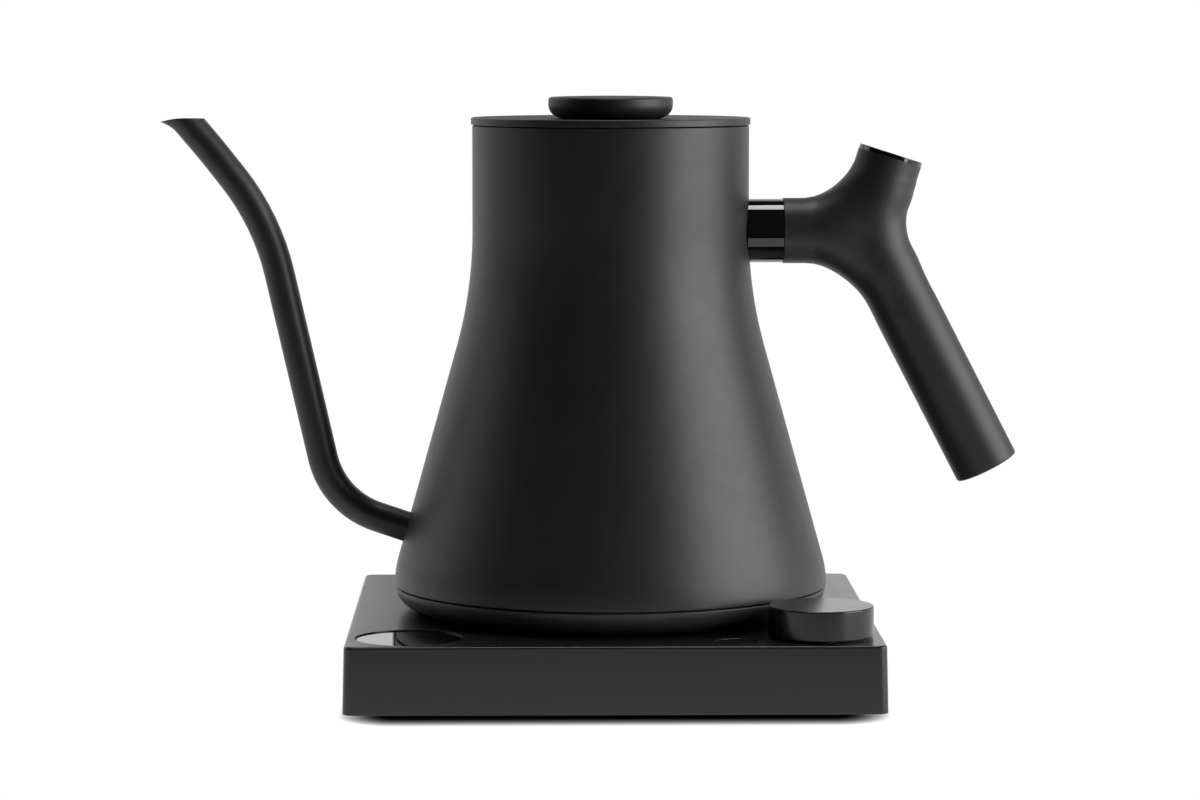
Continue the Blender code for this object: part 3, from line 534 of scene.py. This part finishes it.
def spout_path(bend_step):
    """Centreline points of the spout with the direction at each, as (x, z) vectors."""
    start = Vector(SPOUT_START)
    path = [(start, (Vector(SPOUT_CORNERS[0][0]) - start).normalized())]
    ends = [Vector(corner) for corner, bend in SPOUT_CORNERS[1:]] + [Vector(SPOUT_MOUTH)]
    before = start
    for (corner, bend), after in zip(SPOUT_CORNERS, ends):
        corner = Vector(corner)
        arriving = (corner - before).normalized()
        leaving = (after - corner).normalized()
        turn = arriving.angle_signed(leaving)
        setback = bend * tan(abs(turn) / 2)
        side = Vector((arriving.y, -arriving.x)) * copysign(1.0, turn)
        centre = corner - arriving * setback + side * bend
        bend_start = centre - side * bend
        last = path[-1][0]
        count = int((bend_start - last).length / 4)
        path += [(Vector(point), arriving) for point in between(last, bend_start, count)]
        steps = max(2, round(abs(degrees(turn)) / bend_step))
        for step in range(steps + 1):
            spin = Matrix.Rotation(-turn * step / steps, 2)
            path.append((centre - spin @ side * bend, spin @ arriving))
        before = corner
    return path


def spout_rings(radius):
    """Rings of the tube at one radius, ending in the level, drawn-out pouring mouth."""
    rings = []
    angles = full_turn(SPOUT_SEGMENTS)
    path = spout_path(3.0)
    for centre, along in path:
        across = Vector((along.y, -along.x))
        ring = []
        for angle in angles:
            offset = across * radius * cos(angle)
            ring.append((centre.x + offset.x, radius * sin(angle), centre.y + offset.y))
        rings.append(ring)
    along = path[-1][1]
    mouth = Vector(SPOUT_MOUTH)
    stretch = 1 / along.y
    lip_share = radius / SPOUT_R
    rows = 7
    for row in range(rows + 1):
        share = row / rows
        level = mouth - along * (1 - share) * MOUTH_HEIGHT / along.y
        ring = []
        for angle in angles:
            out = max(0.0, -cos(angle)) ** 3 * share ** 1.8 * lip_share
            x = level.x + radius * stretch * cos(angle) - SPOUT_LIP[0] * out
            ring.append((x, radius * sin(angle), level.y - SPOUT_LIP[1] * out))
        rings.append(ring)
    return rings


def make_spout():
    outside = spout_rings(SPOUT_R)
    inside = spout_rings(SPOUT_R - SPOUT_WALL)
    add_piece("gooseneck", loft(outside + inside[::-1]), "coated_steel", "kettle", ["spout_tube"])


def make_underside():
    """The plastic bowl under the body, with its screw holes, and the dark seal over its rim."""
    rim_round = 0.5
    curve = [(CAP_FOOT_R + (CAP_R - CAP_FOOT_R) * cos(t),
              CAP_TOP - rim_round - (CAP_TOP - rim_round - CAP_BOTTOM) * sin(t))
             for t in quarter_turn(14)]
    rim = arc((CAP_R - rim_round, CAP_TOP - rim_round), rim_round, pi / 2, 0.0, 5)
    inner_floor = CAP_BOTTOM + CAP_WALL
    profile = [(CAP_FOOT_R - 3, inner_floor), (CAP_R - CAP_WALL - 1, CAP_LEDGE),
               (CAP_R - 1.2, CAP_LEDGE + CAP_WALL / 2), (CAP_R - 1.2, CAP_TOP)] + rim + curve[1:]
    shape = bmesh.new()
    roof_ring, foot_ring = chain(shape, circles(profile, BODY_SEGMENTS))
    hole = [(CAP_HOLE_R, inner_floor), (CAP_HOLE_R, CAP_BOTTOM + 0.3), (CAP_HOLE_R + 0.3, CAP_BOTTOM)]
    hole_top, hole_foot = chain(shape, circles(hole, 48))
    flat_rings = [foot_ring, hole_foot]
    roof_rings = [roof_ring, hole_top]
    counterbore = [(3.6, CAP_BOTTOM), (3.3, CAP_BOTTOM + 0.3), (3.3, CAP_BOTTOM + 1.2),
                   (1.9, CAP_BOTTOM + 1.2), (1.9, inner_floor)]
    for number in range(1, 4):
        low, high = chain(shape, circles(counterbore, 24, spot(f"bottom_cap_screw_{number}")))
        flat_rings.append(low)
        roof_rings.append(high)
    fill_flat(shape, flat_rings)
    fill_flat(shape, roof_rings)
    # The bowl's paler finish is painted fill light in the shade under the body.
    add_piece("underside_bowl", shape, "black_moulding", "kettle", ["bottom_cap"], finish="bowl_moulding_painted_fill")
    add_ring("seam_seal", SEAM_SEAL_INNER_R, 0.3, "black_rubber", "kettle", "bottom_cap_seal",
             BODY_SEGMENTS)


# ---- handle

def limb_direction(angle):
    return Vector((cos(angle), 0.0, sin(angle)))


def from_line(point, start, end):
    """The way to a point from the nearest place on a straight centreline."""
    span = end - start
    share = min(max((point - start).dot(span) / span.length_squared, 0.0), 1.0)
    return point - start - span * share


def from_spine(point):
    """The way to a point from the centreline down the stub, round the bend and down the grip."""
    stub, grip = limb_direction(STUB_ANGLE), limb_direction(GRIP_ANGLE)
    half_opening = (STUB_ANGLE - GRIP_ANGLE) / 2
    setback = SPINE_BEND / tan(half_opening)
    middle_way = limb_direction((STUB_ANGLE + GRIP_ANGLE) / 2)
    centre = HUB + middle_way * SPINE_BEND / sin(half_opening)
    ways = [from_line(point, HUB + stub * setback, HUB + stub * STUB_LENGTH * 2),
            from_line(point, HUB + grip * setback, HUB + grip * GRIP_LENGTH * 2)]
    flat = Vector((point.x - centre.x, 0.0, point.z - centre.z))
    if flat.angle(-middle_way, 0.0) < pi / 2 - half_opening:
        ways.append(point - centre - flat.normalized() * SPINE_BEND)
    return min(ways, key=lambda way: way.length)


def handle_field(point):
    """Below zero inside the handle: two round limbs with a fillet that fades where they lie flush."""
    arm_way = from_line(point, HUB - Vector((200.0, 0.0, 0.0)), HUB)
    spine_way = from_spine(point)
    spread = 1.0 - arm_way.normalized().dot(spine_way.normalized())
    fillet = FILLET * min(1.0, spread / FILLET_SPREAD)
    arm, spine = arm_way.length - LIMB_R, spine_way.length - LIMB_R
    near = hypot(max(fillet - arm, 0.0), max(fillet - spine, 0.0))
    return max(fillet, min(arm, spine)) - near


def onto_handle(point):
    """Slide a point along the field's slope until it lies on the surface."""
    step = 0.01
    for _ in range(8):
        value = handle_field(point)
        if abs(value) < 0.001:
            break
        slope = Vector([(handle_field(point + axis * step) - value) / step for axis in Matrix.Identity(3)])
        if slope.length_squared < 0.01:
            break
        point = point - slope * value / slope.length_squared
    return point


def limb_ring(direction, distance, radius):
    side = Vector((-direction.z, 0.0, direction.x))
    return [HUB + direction * distance + (side * cos(a) + FRONT * sin(a)) * radius
            for a in full_turn(HANDLE_SEGMENTS)]


def crotch_ring(angle, next_angle, last_angle):
    """The line round the hub where a limb meets its two neighbours, point for point with its rings."""
    ring = []
    for turn in full_turn(HANDLE_SEGMENTS):
        other = next_angle if cos(turn) > 0 else last_angle
        towards = limb_direction(angle) + limb_direction(other)
        across = abs(cos(turn)) * LIMB_R * 1.5
        ring.append(HUB + towards.normalized() * across + FRONT * sin(turn) * LIMB_R)
    return ring


def handle_shape():
    """Three limbs as rings of points, welded along the lines where they meet.

    Each limb: its angle, its neighbours' angles, where its blend ends, its length, how many straight rings
    it has, the rounding of its end, and the radius and depth of each step of the bore in its end.
    """
    arm_angle = pi
    limbs = ((arm_angle, STUB_ANGLE, GRIP_ANGLE, 19.0, HUB.x - ARM_START, 4, 0.15, ((COLLAR_BORE_R, 31.9),)),
             (STUB_ANGLE, arm_angle, GRIP_ANGLE, 20.0, STUB_LENGTH - STUB_CAP, 4, 0.1,
              ((LIMB_BORE_R, 11.4), (2.2, 13.8))),
             (GRIP_ANGLE, STUB_ANGLE, arm_angle, 30.0, GRIP_LENGTH, 24, 0.8,
              ((LIMB_BORE_R, 3.0), (7.0, 55.0))))
    shape = bmesh.new()
    blended = []
    for angle, neighbour_a, neighbour_b, blend_end, length, straight_rings, edge, bore in limbs:
        direction = limb_direction(angle)
        side = Vector((-direction.z, 0.0, direction.x))
        on_side = limb_direction(neighbour_a).dot(side) > 0
        next_angle, last_angle = (neighbour_a, neighbour_b) if on_side else (neighbour_b, neighbour_a)
        inner = crotch_ring(angle, next_angle, last_angle)
        outer = limb_ring(direction, blend_end, LIMB_R)
        rings = []
        for row in range(BLEND_ROWS + 1):
            share = row / BLEND_ROWS
            rings.append([onto_handle(a.lerp(b, share)) for a, b in zip(inner, outer)])
        for row in range(1, straight_rings + 1):
            distance = blend_end + (length - edge - blend_end) * row / straight_rings
            rings.append(limb_ring(direction, distance, LIMB_R))
        for turn in (30, 60, 90):
            out, back = sin(radians(turn)), 1 - cos(radians(turn))
            rings.append(limb_ring(direction, length - edge + edge * out, LIMB_R - edge * back))
        deep = 0.0
        for radius, depth in bore:
            rings.append(limb_ring(direction, length - deep, radius))
            rings.append(limb_ring(direction, length - depth, radius))
            deep = depth
        rings = [[shape.verts.new(point) for point in ring] for ring in rings]
        for ring, next_ring in zip(rings, rings[1:]):
            bridge(shape, ring, next_ring)
        shape.faces.new(rings[-1])
        blended += [vertex for ring in rings[:BLEND_ROWS] for vertex in ring]
    bmesh.ops.remove_doubles(shape, verts=blended, dist=0.01)
    blended = [vertex for vertex in blended if vertex.is_valid]
    for _ in range(6):
        bmesh.ops.smooth_vert(shape, verts=blended, factor=0.5, use_axis_x=True, use_axis_y=True,
                              use_axis_z=True)
    return shape


def make_handle():
    """The three-way moulding, the collar that saddles the body, and the cap and plug in the limbs' ends."""
    add_piece("handle", handle_shape(), "black_moulding", "kettle", ["handle_shell"])

    collar = [(COLLAR_BORE_R, COLLAR_START, 0.0), (COLLAR_BORE_R, COLLAR_END, 0.2),
              (COLLAR_R, COLLAR_END, 0.1), (COLLAR_R, COLLAR_START, 0.0)]
    collar = add_turned("collar", collar, "gloss_black", "kettle", "handle_collar", 96, closed=True,
                        at=(0.0, 0.0, HUB.z), direction=Vector((1.0, 0.0, 0.0)))
    saddle = [(r + COLLAR_GAP, z) for r, z in body_outline(0.0)]
    cut(collar, turned_shape([(0.0, RIM_Z)] + saddle + [(0.0, SHELL_BOTTOM)], BODY_SEGMENTS * 2))

    stub, grip = limb_direction(STUB_ANGLE), limb_direction(GRIP_ANGLE)
    cap_foot = HAIRLINE - STUB_CAP
    cap = [(0.0, -7.0, 0.0), (LIMB_PLUG_R, -7.0, 0.5), (LIMB_PLUG_R, cap_foot, 0.0),
           (LIMB_R, cap_foot, 0.08), (LIMB_R, 0.0, 0.3), (0.0, 0.0, 0.0)]
    add_turned("stub_cap", cap, "gloss_black", "kettle", "handle_cap", 96,
               at=HUB + stub * STUB_LENGTH, direction=stub)
    plug = [(0.0, -2.7, 0.0), (LIMB_PLUG_R, -2.7, 0.3), (LIMB_PLUG_R, 0.0, 0.6), (0.0, 0.0, 0.0)]
    add_turned("grip_plug", plug, "black_moulding", "kettle", "grip_end_plug", 96,
               at=HUB + grip * GRIP_LENGTH, direction=grip)


# ---- lid

def make_lid():
    """The disc, dished towards its knob, and the round knob with the way for its screw."""
    underside = LID_BOTTOM - 0.12
    dish = LID_TOP - LID_DISH
    plate = [(2.0, underside, 0.0), (LID_R, underside, 0.15), (LID_R, LID_TOP, 0.5),
             (LID_R - 3.0, LID_TOP - 0.09, 0.0), (LID_R - 12.0, LID_TOP - 0.32, 0.0),
             (16.0, dish, 0.0), (2.0, dish, 0.0)]
    add_turned("lid_disc", plate, "coated_steel", "lid", "lid_plate", BODY_SEGMENTS, closed=True, steps=6)

    foot = dish + HAIRLINE
    belly = [(LID_KNOB_FOOT_R + (LID_KNOB_R - LID_KNOB_FOOT_R) * cos(t) ** 0.75,
              LID_KNOB_BELLY + (LID_KNOB_BELLY - foot) * sin(t))
             for t in [-pi / 2 * (1 - i / 16) for i in range(1, 16)]]
    screw_way = [(0.0, 175.5), (2.0, 175.5), (2.0, foot + 0.2), (2.2, foot), (LID_KNOB_FOOT_R, foot)]
    crown = rounded([(LID_KNOB_R, LID_KNOB_BELLY, 0.0), (LID_KNOB_R, LID_KNOB_TOP - 0.4, 1.1),
                     (17.0, LID_KNOB_TOP - 0.22, 0.0), (12.0, LID_KNOB_TOP - 0.1, 0.0),
                     (6.0, LID_KNOB_TOP - 0.02, 0.0), (0.0, LID_KNOB_TOP, 0.0)], steps=8)
    add_piece("lid_handle", turned_shape(screw_way + belly + crown, 96), "black_moulding", "lid",
              ["lid_knob"])


# ---- base

def make_base_housing():
    """A square tray upside down, with rounded edges all round and holes for the connector and controls."""
    inner = BASE_HALF - BASE_WALL
    shape = bmesh.new()
    top_edge = [rounded_square(BASE_HALF - BASE_EDGE + BASE_EDGE * sin(t), BASE_CORNER,
                               -BASE_EDGE + BASE_EDGE * cos(t))
                for t in quarter_turn(5)]
    low_half = BASE_HALF + BASE_DRAFT - BASE_LOW_EDGE
    low_edge = [rounded_square(low_half + BASE_LOW_EDGE * cos(t), BASE_CORNER,
                               BASE_BOTTOM + BASE_LOW_EDGE - BASE_LOW_EDGE * sin(t))
                for t in quarter_turn(4)]
    inside = [rounded_square(inner + BASE_DRAFT, BASE_INNER_CORNER, BASE_BOTTOM),
              rounded_square(inner, BASE_INNER_CORNER, -BASE_ROOF)]
    top_ring, roof_ring = chain(shape, top_edge + low_edge + inside)
    top_rings, roof_rings = [top_ring], [roof_ring]
    # each hole's centre, its radius and the rounding of its edge
    holes = (((0.0, 0.0), CONNECTOR_R, 0.25), (DISPLAY_AT, DISPLAY_R, 0.1),
             (KNOB_AT, KNOB_HOLE_R, 0.25), (MENU_AT, MENU_R + MENU_GAP, 0.4))
    for centre, radius, soft in holes:
        profile = [(radius + soft * (1 - sin(t)), soft * (cos(t) - 1)) for t in quarter_turn(4)]
        high, low = chain(shape, circles(profile + [(radius, -BASE_ROOF)], 96, centre))
        top_rings.append(high)
        roof_rings.append(low)
    fill_flat(shape, top_rings)
    fill_flat(shape, roof_rings)
    housing = add_piece("base_housing", shape, "black_moulding", "base", ["base_cover"],
                        finish="satin_moulding")
    hole = turned_shape([(0.0, -8.0), (GLAND_R, -8.0), (GLAND_R, 8.0), (0.0, 8.0)], 48)
    to_back = Matrix.Translation((0.0, BASE_HALF, GLAND_Z)) @ Matrix.Rotation(pi / 2, 4, "X")
    bmesh.ops.transform(hole, matrix=to_back, verts=hole.verts[:])
    cut(housing, hole)


def make_base_foot():
    """The dark plinth under the housing, with a recess for each foot and screw."""
    flange = BASE_HALF - BASE_WALL - 0.3
    flange_bottom = BASE_BOTTOM + 0.3
    edge = 0.5
    sections = ((PLINTH_HALF - edge, PLINTH_CORNER, PLINTH_BOTTOM),
                (PLINTH_HALF, PLINTH_CORNER, PLINTH_BOTTOM + edge),
                (PLINTH_HALF, PLINTH_CORNER, flange_bottom),
                (flange, BASE_INNER_CORNER, flange_bottom), (flange, BASE_INNER_CORNER, PLATE_TOP))
    shape = bmesh.new()
    low, high = chain(shape, [rounded_square(*section) for section in sections])
    shape.faces.new(high)
    low_rings = [low]
    # each kind of recess: its radius, the widening and height of its chamfer, its depth and its segments
    recesses = (("foot", 7.3, 0.3, 0.3, 1.5, 32), ("base_screw", 3.2, 0.2, 0.2, 2.4, 24))
    for number in range(1, 5):
        for node, radius, wider, chamfer, depth, segments in recesses:
            profile = [(radius + wider, PLINTH_BOTTOM), (radius, PLINTH_BOTTOM + chamfer),
                       (radius, PLINTH_BOTTOM + depth)]
            mouth, roof = chain(shape, circles(profile, segments, spot(f"{node}_{number}")))
            shape.faces.new(roof)
            low_rings.append(mouth)
    fill_flat(shape, low_rings)
    add_piece("base_foot", shape, "black_moulding", "base", ["base_plate"])


def make_controls():
    """The display's window, the knob and the menu key."""
    low, high = reach("display_lens")
    radius = (high.x - low.x) / 2
    lens = [(0.0, low.z, 0.0), (radius, low.z, 0.1), (radius, high.z, 0.3), (0.0, high.z, 0.0)]
    add_turned("display_window", lens, "smoked_window", "base", "display_lens", 128, at=DISPLAY_AT)

    knob = [(0.0, 8.0, 0.0), (2.9, 8.0, 0.2), (2.9, 4.0, 0.3), (8.0, 4.0, 0.3), (8.0, KNOB_BOTTOM, 0.3),
            (KNOB_R, KNOB_BOTTOM, 0.3), (KNOB_R, KNOB_TOP, 0.55), (0.0, KNOB_TOP, 0.0)]
    add_turned("turn_knob", knob, "black_moulding", "knob", "control_knob", 128, at=KNOB_AT,
               finish="knob_moulding")

    top = reach("menu_button")[1].z - MENU_DROP
    key = [(0.0, -6.2, 0.0), (2.0, -6.2, 0.3), (2.0, -3.8, 0.3), (7.6, -3.8, 0.2), (7.6, -2.8, 0.2),
           (MENU_R, -2.8, 0.2), (MENU_R, top, 0.4), (0.0, top, 0.0)]
    add_turned("menu_key", key, "black_moulding", "button", "menu_button", 64, at=MENU_AT,
               finish="satin_moulding")


# ---- small parts

def screw_shape(head_r, shank_r, foot, head_top, tip):
    """A screw with its head down: a domed head with a cross recess, and a ridged shank."""
    shape = bmesh.new()
    arm, half = head_r * 0.6, head_r * 0.15
    cross = [(arm, half), (half, half), (half, arm)]
    for _ in range(3):
        cross += [(-y, x) for x, y in cross[-3:]]
    height = head_top - foot
    mouth, recess = chain(shape, [[(x, y, foot) for x, y in cross],
                                  [(x * 0.8, y * 0.8, foot + height * 0.7) for x, y in cross]])
    shape.faces.new(recess)
    dome = [(head_r * 0.72 + head_r * 0.28 * sin(t), foot + height * 0.45 * (1 - cos(t)))
            for t in quarter_turn(5)]
    profile = dome + [(head_r, head_top), (shank_r, head_top)]
    pitch = 0.9               # from ridge to ridge
    turns = int((tip - head_top - 1.0) / pitch)
    for turn in range(turns):
        height = head_top + 0.4 + turn * pitch
        profile += [(shank_r * 0.8, height), (shank_r * 0.8, height + 0.25), (shank_r, height + 0.5)]
    profile += [(shank_r * 0.8, tip - 0.5), (shank_r * 0.4, tip)]
    rim, end = chain(shape, circles(profile, 40))
    fill_flat(shape, [mouth, rim])
    shape.faces.new(end)
    return shape


def make_screws():
    """Each screw: its name, CAD node and body, its head's and shank's radius, and how tall its head is."""
    screws = [(f"cap_screw_{i}", f"bottom_cap_screw_{i}", "kettle", 2.9, 1.5, 0.6) for i in range(1, 4)]
    screws += [(f"plate_screw_{i}", f"base_screw_{i}", "base", 2.8, 1.4, 1.7) for i in range(1, 5)]
    screws.append(("lid_screw", "lid_knob_screw", "lid", 3.4, 1.6, 2.5))
    for name, node, body, head_r, shank_r, head in screws:
        low, high = reach(node)
        shape = screw_shape(head_r, shank_r, low.z, low.z + head, high.z)
        add_piece(name, shape, "zinc_steel", body, [node], at=spot(node))


def make_feet():
    """Soft pads with a shallow dish in the middle."""
    for number in range(1, 5):
        node = f"foot_{number}"
        low, high = reach(node)
        radius = (high.x - low.x) / 2
        dish = low.z + 0.35
        pad = [(0.0, dish, 0.0), (radius * 0.6, dish, 0.1), (radius * 0.68, low.z, 0.15),
               (radius, low.z, 0.5), (radius, high.z, 0.2), (0.0, high.z, 0.0)]
        add_turned(f"soft_foot_{number}", pad, "black_rubber", "base", node, 64, at=spot(node))


def make_plug():
    """The two halves of the round connector, with their contacts and the loose washer between them."""
    rim_r, groove_out, groove_in, pit_r = CONNECTOR_R - 0.3, 12.7, 7.8, 4.2
    floor, rim_z, groove, pit = -17.5, -0.3, -9.0, -12.0
    socket = [(0.0, floor, 0.0), (rim_r, floor, 0.4), (rim_r, rim_z, 0.8), (groove_out, rim_z, 0.5),
              (groove_out, groove, 0.5), (groove_in, groove, 0.5), (groove_in, rim_z, 0.9),
              (pit_r, rim_z, 0.6), (pit_r, pit, 0.3), (0.0, pit, 0.0)]
    add_turned("socket", socket, "black_moulding", "base", "base_connector", 128)
    add_ring("loose_washer", 8.3, 0.4, "black_moulding", "washer", "connector_washer", 96)
    inside, nose_in, nose_out, outside = 2.8, 9.8, 12.2, 18.0
    step, tip, top = 0.6, -6.0, 8.4
    nose = [(inside, step, 0.3), (nose_in, step, 0.4), (nose_in, tip, 0.5), (nose_out, tip, 0.7),
            (nose_out, step, 0.6), (outside, step, 0.5), (outside, top, 0.3), (inside, top, 0.2)]
    add_turned("plug_nose", nose, "black_moulding", "kettle", "kettle_connector", 128, closed=True)
    pin = [(0.0, -9.0, 0.0), (2.5, -9.0, 1.2), (2.5, 2.0, 0.0), (2.3, 2.3, 0.0), (2.3, 8.0, 0.3),
           (0.0, 8.0, 0.0)]
    add_turned("earth_pin", pin, "brass", "kettle", "connector_earth_pin", 48)
    add_ring("contact_ring", 8.3, 0.2, "brass", "kettle", "connector_contact_ring", 96)


def make_lid_inside():
    """The cup under the lid's disc and the ribbed gasket round it."""
    low, high = reach("lid_skirt")
    inner, floor = high.x - 2.0, low.z + 2.0
    skirt = [(0.0, low.z, 0.0), (high.x, low.z, 1.2), (high.x, high.z, 0.3), (inner, high.z, 0.3),
             (inner, floor, 1.0), (0.0, floor, 0.0)]
    add_turned("lid_cup", skirt, "black_moulding", "lid", "lid_skirt", BODY_SEGMENTS)
    inner = high.x + 0.3
    low, high = reach("lid_seal")
    root = high.x - 0.5
    seal = [(inner, low.z, 0.2), (inner, high.z, 0.2), (root, high.z, 0.2), (high.x, low.z + 1.6, 0.3),
            (root, low.z + 1.1, 0.2), (high.x, low.z + 0.5, 0.3), (root, low.z, 0.2)]
    add_turned("lid_gasket", seal, "silicone", "lid", "lid_seal", BODY_SEGMENTS, closed=True)


def make_chamber():
    """What is seen through the neck: the floor with its upturned rim, and the probe in its grommet."""
    low, high = reach("floor_pan")
    centre = spot("temperature_probe")
    shape = bmesh.new()
    roof = low.z + 1.0
    rim = rounded([(high.x - 0.2, low.z, 0.0), (high.x, low.z + 0.3, 0.0), (high.x, high.z, 0.4),
                   (high.x - 1.0, high.z, 0.4), (high.x - 1.0, roof, 0.6), (high.x - 3.0, roof, 0.0)])
    foot_ring, roof_ring = chain(shape, circles(rim, BODY_SEGMENTS))
    hole_low, hole_high = chain(shape, circles(((4.0, low.z), (4.0, roof)), 48, centre))
    fill_flat(shape, [foot_ring, hole_low])
    fill_flat(shape, [roof_ring, hole_high])
    add_piece("chamber_floor", shape, "stainless", "kettle", ["floor_pan"])
    low, high = reach("temperature_probe")
    probe = [(0.0, low.z, 0.0), (2.0, low.z, 0.3), (2.0, high.z, 1.6), (0.0, high.z, 0.0)]
    add_turned("probe", probe, "stainless", "kettle", "temperature_probe", 48, at=centre)
    low, high = reach("probe_seal")
    grommet = [(2.3, low.z, 0.2), (2.3, high.z, 0.5), (3.7, high.z, 0.5), (3.7, low.z, 0.2)]
    add_turned("grommet", grommet, "silicone", "kettle", "probe_seal", 48, closed=True, at=centre)


def make_gland():
    """The cord gland in the back wall, with a groove round its face."""
    low, high = reach("cord_gland")
    face, groove = 5.0, 4.2
    gland = [(2.2, 0.0, 0.3), (2.2, face, 0.6), (3.2, face, 0.2), (3.2, groove, 0.2), (4.2, groove, 0.2),
             (4.2, face, 0.2), (5.0, face, 0.3), (5.0, 0.0, 0.3)]
    add_turned("gland", gland, "black_rubber", "base", "cord_gland", 64, closed=True,
               at=(0.0, low.y, (low.z + high.z) / 2), direction=Vector((0.0, 1.0, 0.0)))


# ---- studio

def make_floor():
    """A pale floor, equally bright everywhere but in the shade under the base's overhang."""
    bpy.ops.mesh.primitive_plane_add(size=1.0)
    floor = bpy.context.object
    floor.name = "floor"
    near, far, side = -0.34, 3.0, 2.2
    floor.scale = (side * 2, far - near, 1.0)
    floor.location = (0.0, (near + far) / 2, 0.0)
    material = bpy.data.materials.new("floor")
    material.use_nodes = True
    tree = material.node_tree
    tree.nodes.clear()
    corner = (PLINTH_HALF - PLINTH_CORNER) * MM
    zero = (0.0, 0.0, 0.0)
    way = add_node(tree, "NewGeometry").outputs["Position"]
    for operation, value in (("SUBTRACT", (ORIGIN.x, 0.0, 0.0)), ("ABSOLUTE", zero),
                             ("SUBTRACT", (corner, corner, 0.0)), ("MAXIMUM", zero)):
        way = add_node(tree, "VectorMath", {0: way, 1: value}, operation=operation).outputs["Vector"]
    distance = add_node(tree, "VectorMath", {0: way}, operation="LENGTH").outputs["Value"]
    darkest, end = (PLINTH_CORNER - SHADE_INSET) * MM, (PLINTH_CORNER + SHADE_WIDTH) * MM
    fade = add_share(tree, distance, darkest, end, "LINEAR")
    fade = add_sum(tree, "MULTIPLY", add_sum(tree, "POWER", fade, 3.0), 1.25)
    glow = add_node(tree, "Emission", {"Color": WHITE, "Strength": add_sum(tree, "MINIMUM", fade, 1.0)})
    add_node(tree, "OutputMaterial", {"Surface": glow.outputs["Emission"]})
    material.cycles.emission_sampling = "NONE"
    floor.data.materials.append(material)


def add_share(tree, value, low, high, ends="SMOOTHSTEP"):
    """How far a value has come from low to high, from 0 to 1, with soft ends unless they are LINEAR."""
    return add_node(tree, "MapRange", {"Value": value, "From Min": low, "From Max": high},
                    interpolation_type=ends).outputs["Result"]


def add_sum(tree, operation, *values):
    """A Math node's result."""
    return add_node(tree, "Math", dict(enumerate(values)), operation=operation).outputs["Value"]


def make_world():
    """White to look at, and a dark room round the object.

    The room has a pale wall behind the object, parted in the middle and dimmer at its sides. Its limits are
    shares of a unit vector's reach across, back and up.
    """
    world = bpy.data.worlds.new("studio")
    scene.world = world
    world.use_nodes = True
    tree = world.node_tree
    tree.nodes.clear()
    direction = add_node(tree, "TexCoord").outputs["Generated"]
    across, back, up = add_node(tree, "SeparateXYZ", {"Vector": direction}).outputs
    from_middle = add_sum(tree, "ABSOLUTE", add_sum(tree, "SUBTRACT", across, 0.007))
    parting = add_share(tree, from_middle, 0.0417, 0.0425)
    sides = add_sum(tree, "MULTIPLY_ADD", add_share(tree, from_middle, 0.2, 0.45), -0.35, 1.0)
    wall = add_sum(tree, "MULTIPLY", add_share(tree, back, -0.15, 0.6), add_share(tree, up, 0.8, 0.5))
    wall = add_sum(tree, "MULTIPLY", wall, add_sum(tree, "MULTIPLY", parting, sides))
    light = add_sum(tree, "MULTIPLY_ADD", wall, 1.13, 0.016)
    room = add_node(tree, "Background", {"Color": WHITE, "Strength": light})
    backdrop = add_node(tree, "Background", {"Color": WHITE})
    seen = add_node(tree, "LightPath").outputs["Is Camera Ray"]
    mix = add_node(tree, "MixShader", {0: seen, 1: room.outputs[0], 2: backdrop.outputs[0]})
    add_node(tree, "OutputWorld", {"Surface": mix.outputs["Shader"]})


def add_light(name, at, towards, size, radiance):
    """A rectangular soft box, in metres, whose face gives off the same radiance whatever its size."""
    data = bpy.data.lights.new(name, "AREA")
    data.shape = "RECTANGLE"
    data.size, data.size_y = size
    data.energy = radiance * pi * size[0] * size[1]
    light = bpy.data.objects.new(name, data)
    light.location = at
    light.rotation_mode = "QUATERNION"
    light.rotation_quaternion = (Vector(towards) - Vector(at)).to_track_quat("-Z", "Y")
    light.visible_camera = False
    scene.collection.objects.link(light)


def make_lights():
    """Soft boxes at each side, and strips overhead that line the tops of the handle and the lid."""
    aim, distance = 0.12, 1.6     # the height that the lights face, and how far off the soft boxes stand
    boxes = (("right_soft_box", 73, 0.2, (1.5, 2.2), 5.1), ("left_soft_box", -105, 0.9, (0.9, 0.9), 0.9))
    for name, angle, height, size, radiance in boxes:
        way = radians(angle)
        at = (distance * sin(way), -distance * cos(way), height)
        add_light(name, at, (0.0, 0.0, aim), size, radiance)
    strips = (("top_strip", 0.12, (0.26, 0.4), 8.0), ("left_strip", -0.14, (0.22, 0.4), 5.5))
    for name, across, size, radiance in strips:
        add_light(name, (across, 0.1, 1.2), (across, 0.0, aim), size, radiance)


def make_camera():
    """A long lens from the front, a little above the kettle and turned to its right."""
    data = bpy.data.cameras.new("camera")
    data.lens = 119.65
    camera = bpy.data.objects.new("camera", data)
    camera.location = (ORIGIN.x - 0.0271, -1.3781, ORIGIN.z + 0.1986)
    pitch, yaw = 0.091, 0.017     # radians
    camera.rotation_euler = (pi / 2 - pitch, 0.0, -yaw)
    scene.collection.objects.link(camera)
    scene.camera = camera


def finish_cad_nodes():
    """The CAD nodes that keep their shape get the looks of the slot they are in."""
    for part in frame["record"]["subparts"]:
        node = frame["nodes"][part["node"]]
        if not node.hide_render:
            for slot in node.material_slots:
                slot.material = materials[part["material_slot"]]


materials = make_materials()
make_body()
make_spout()
make_underside()
make_handle()
make_lid()
make_base_housing()
make_base_foot()
make_controls()
make_screws()
make_feet()
make_plug()
make_lid_inside()
make_chamber()
make_gland()
finish_cad_nodes()
make_floor()
make_world()
make_lights()
make_camera()
scene.view_settings.view_transform = "Standard"
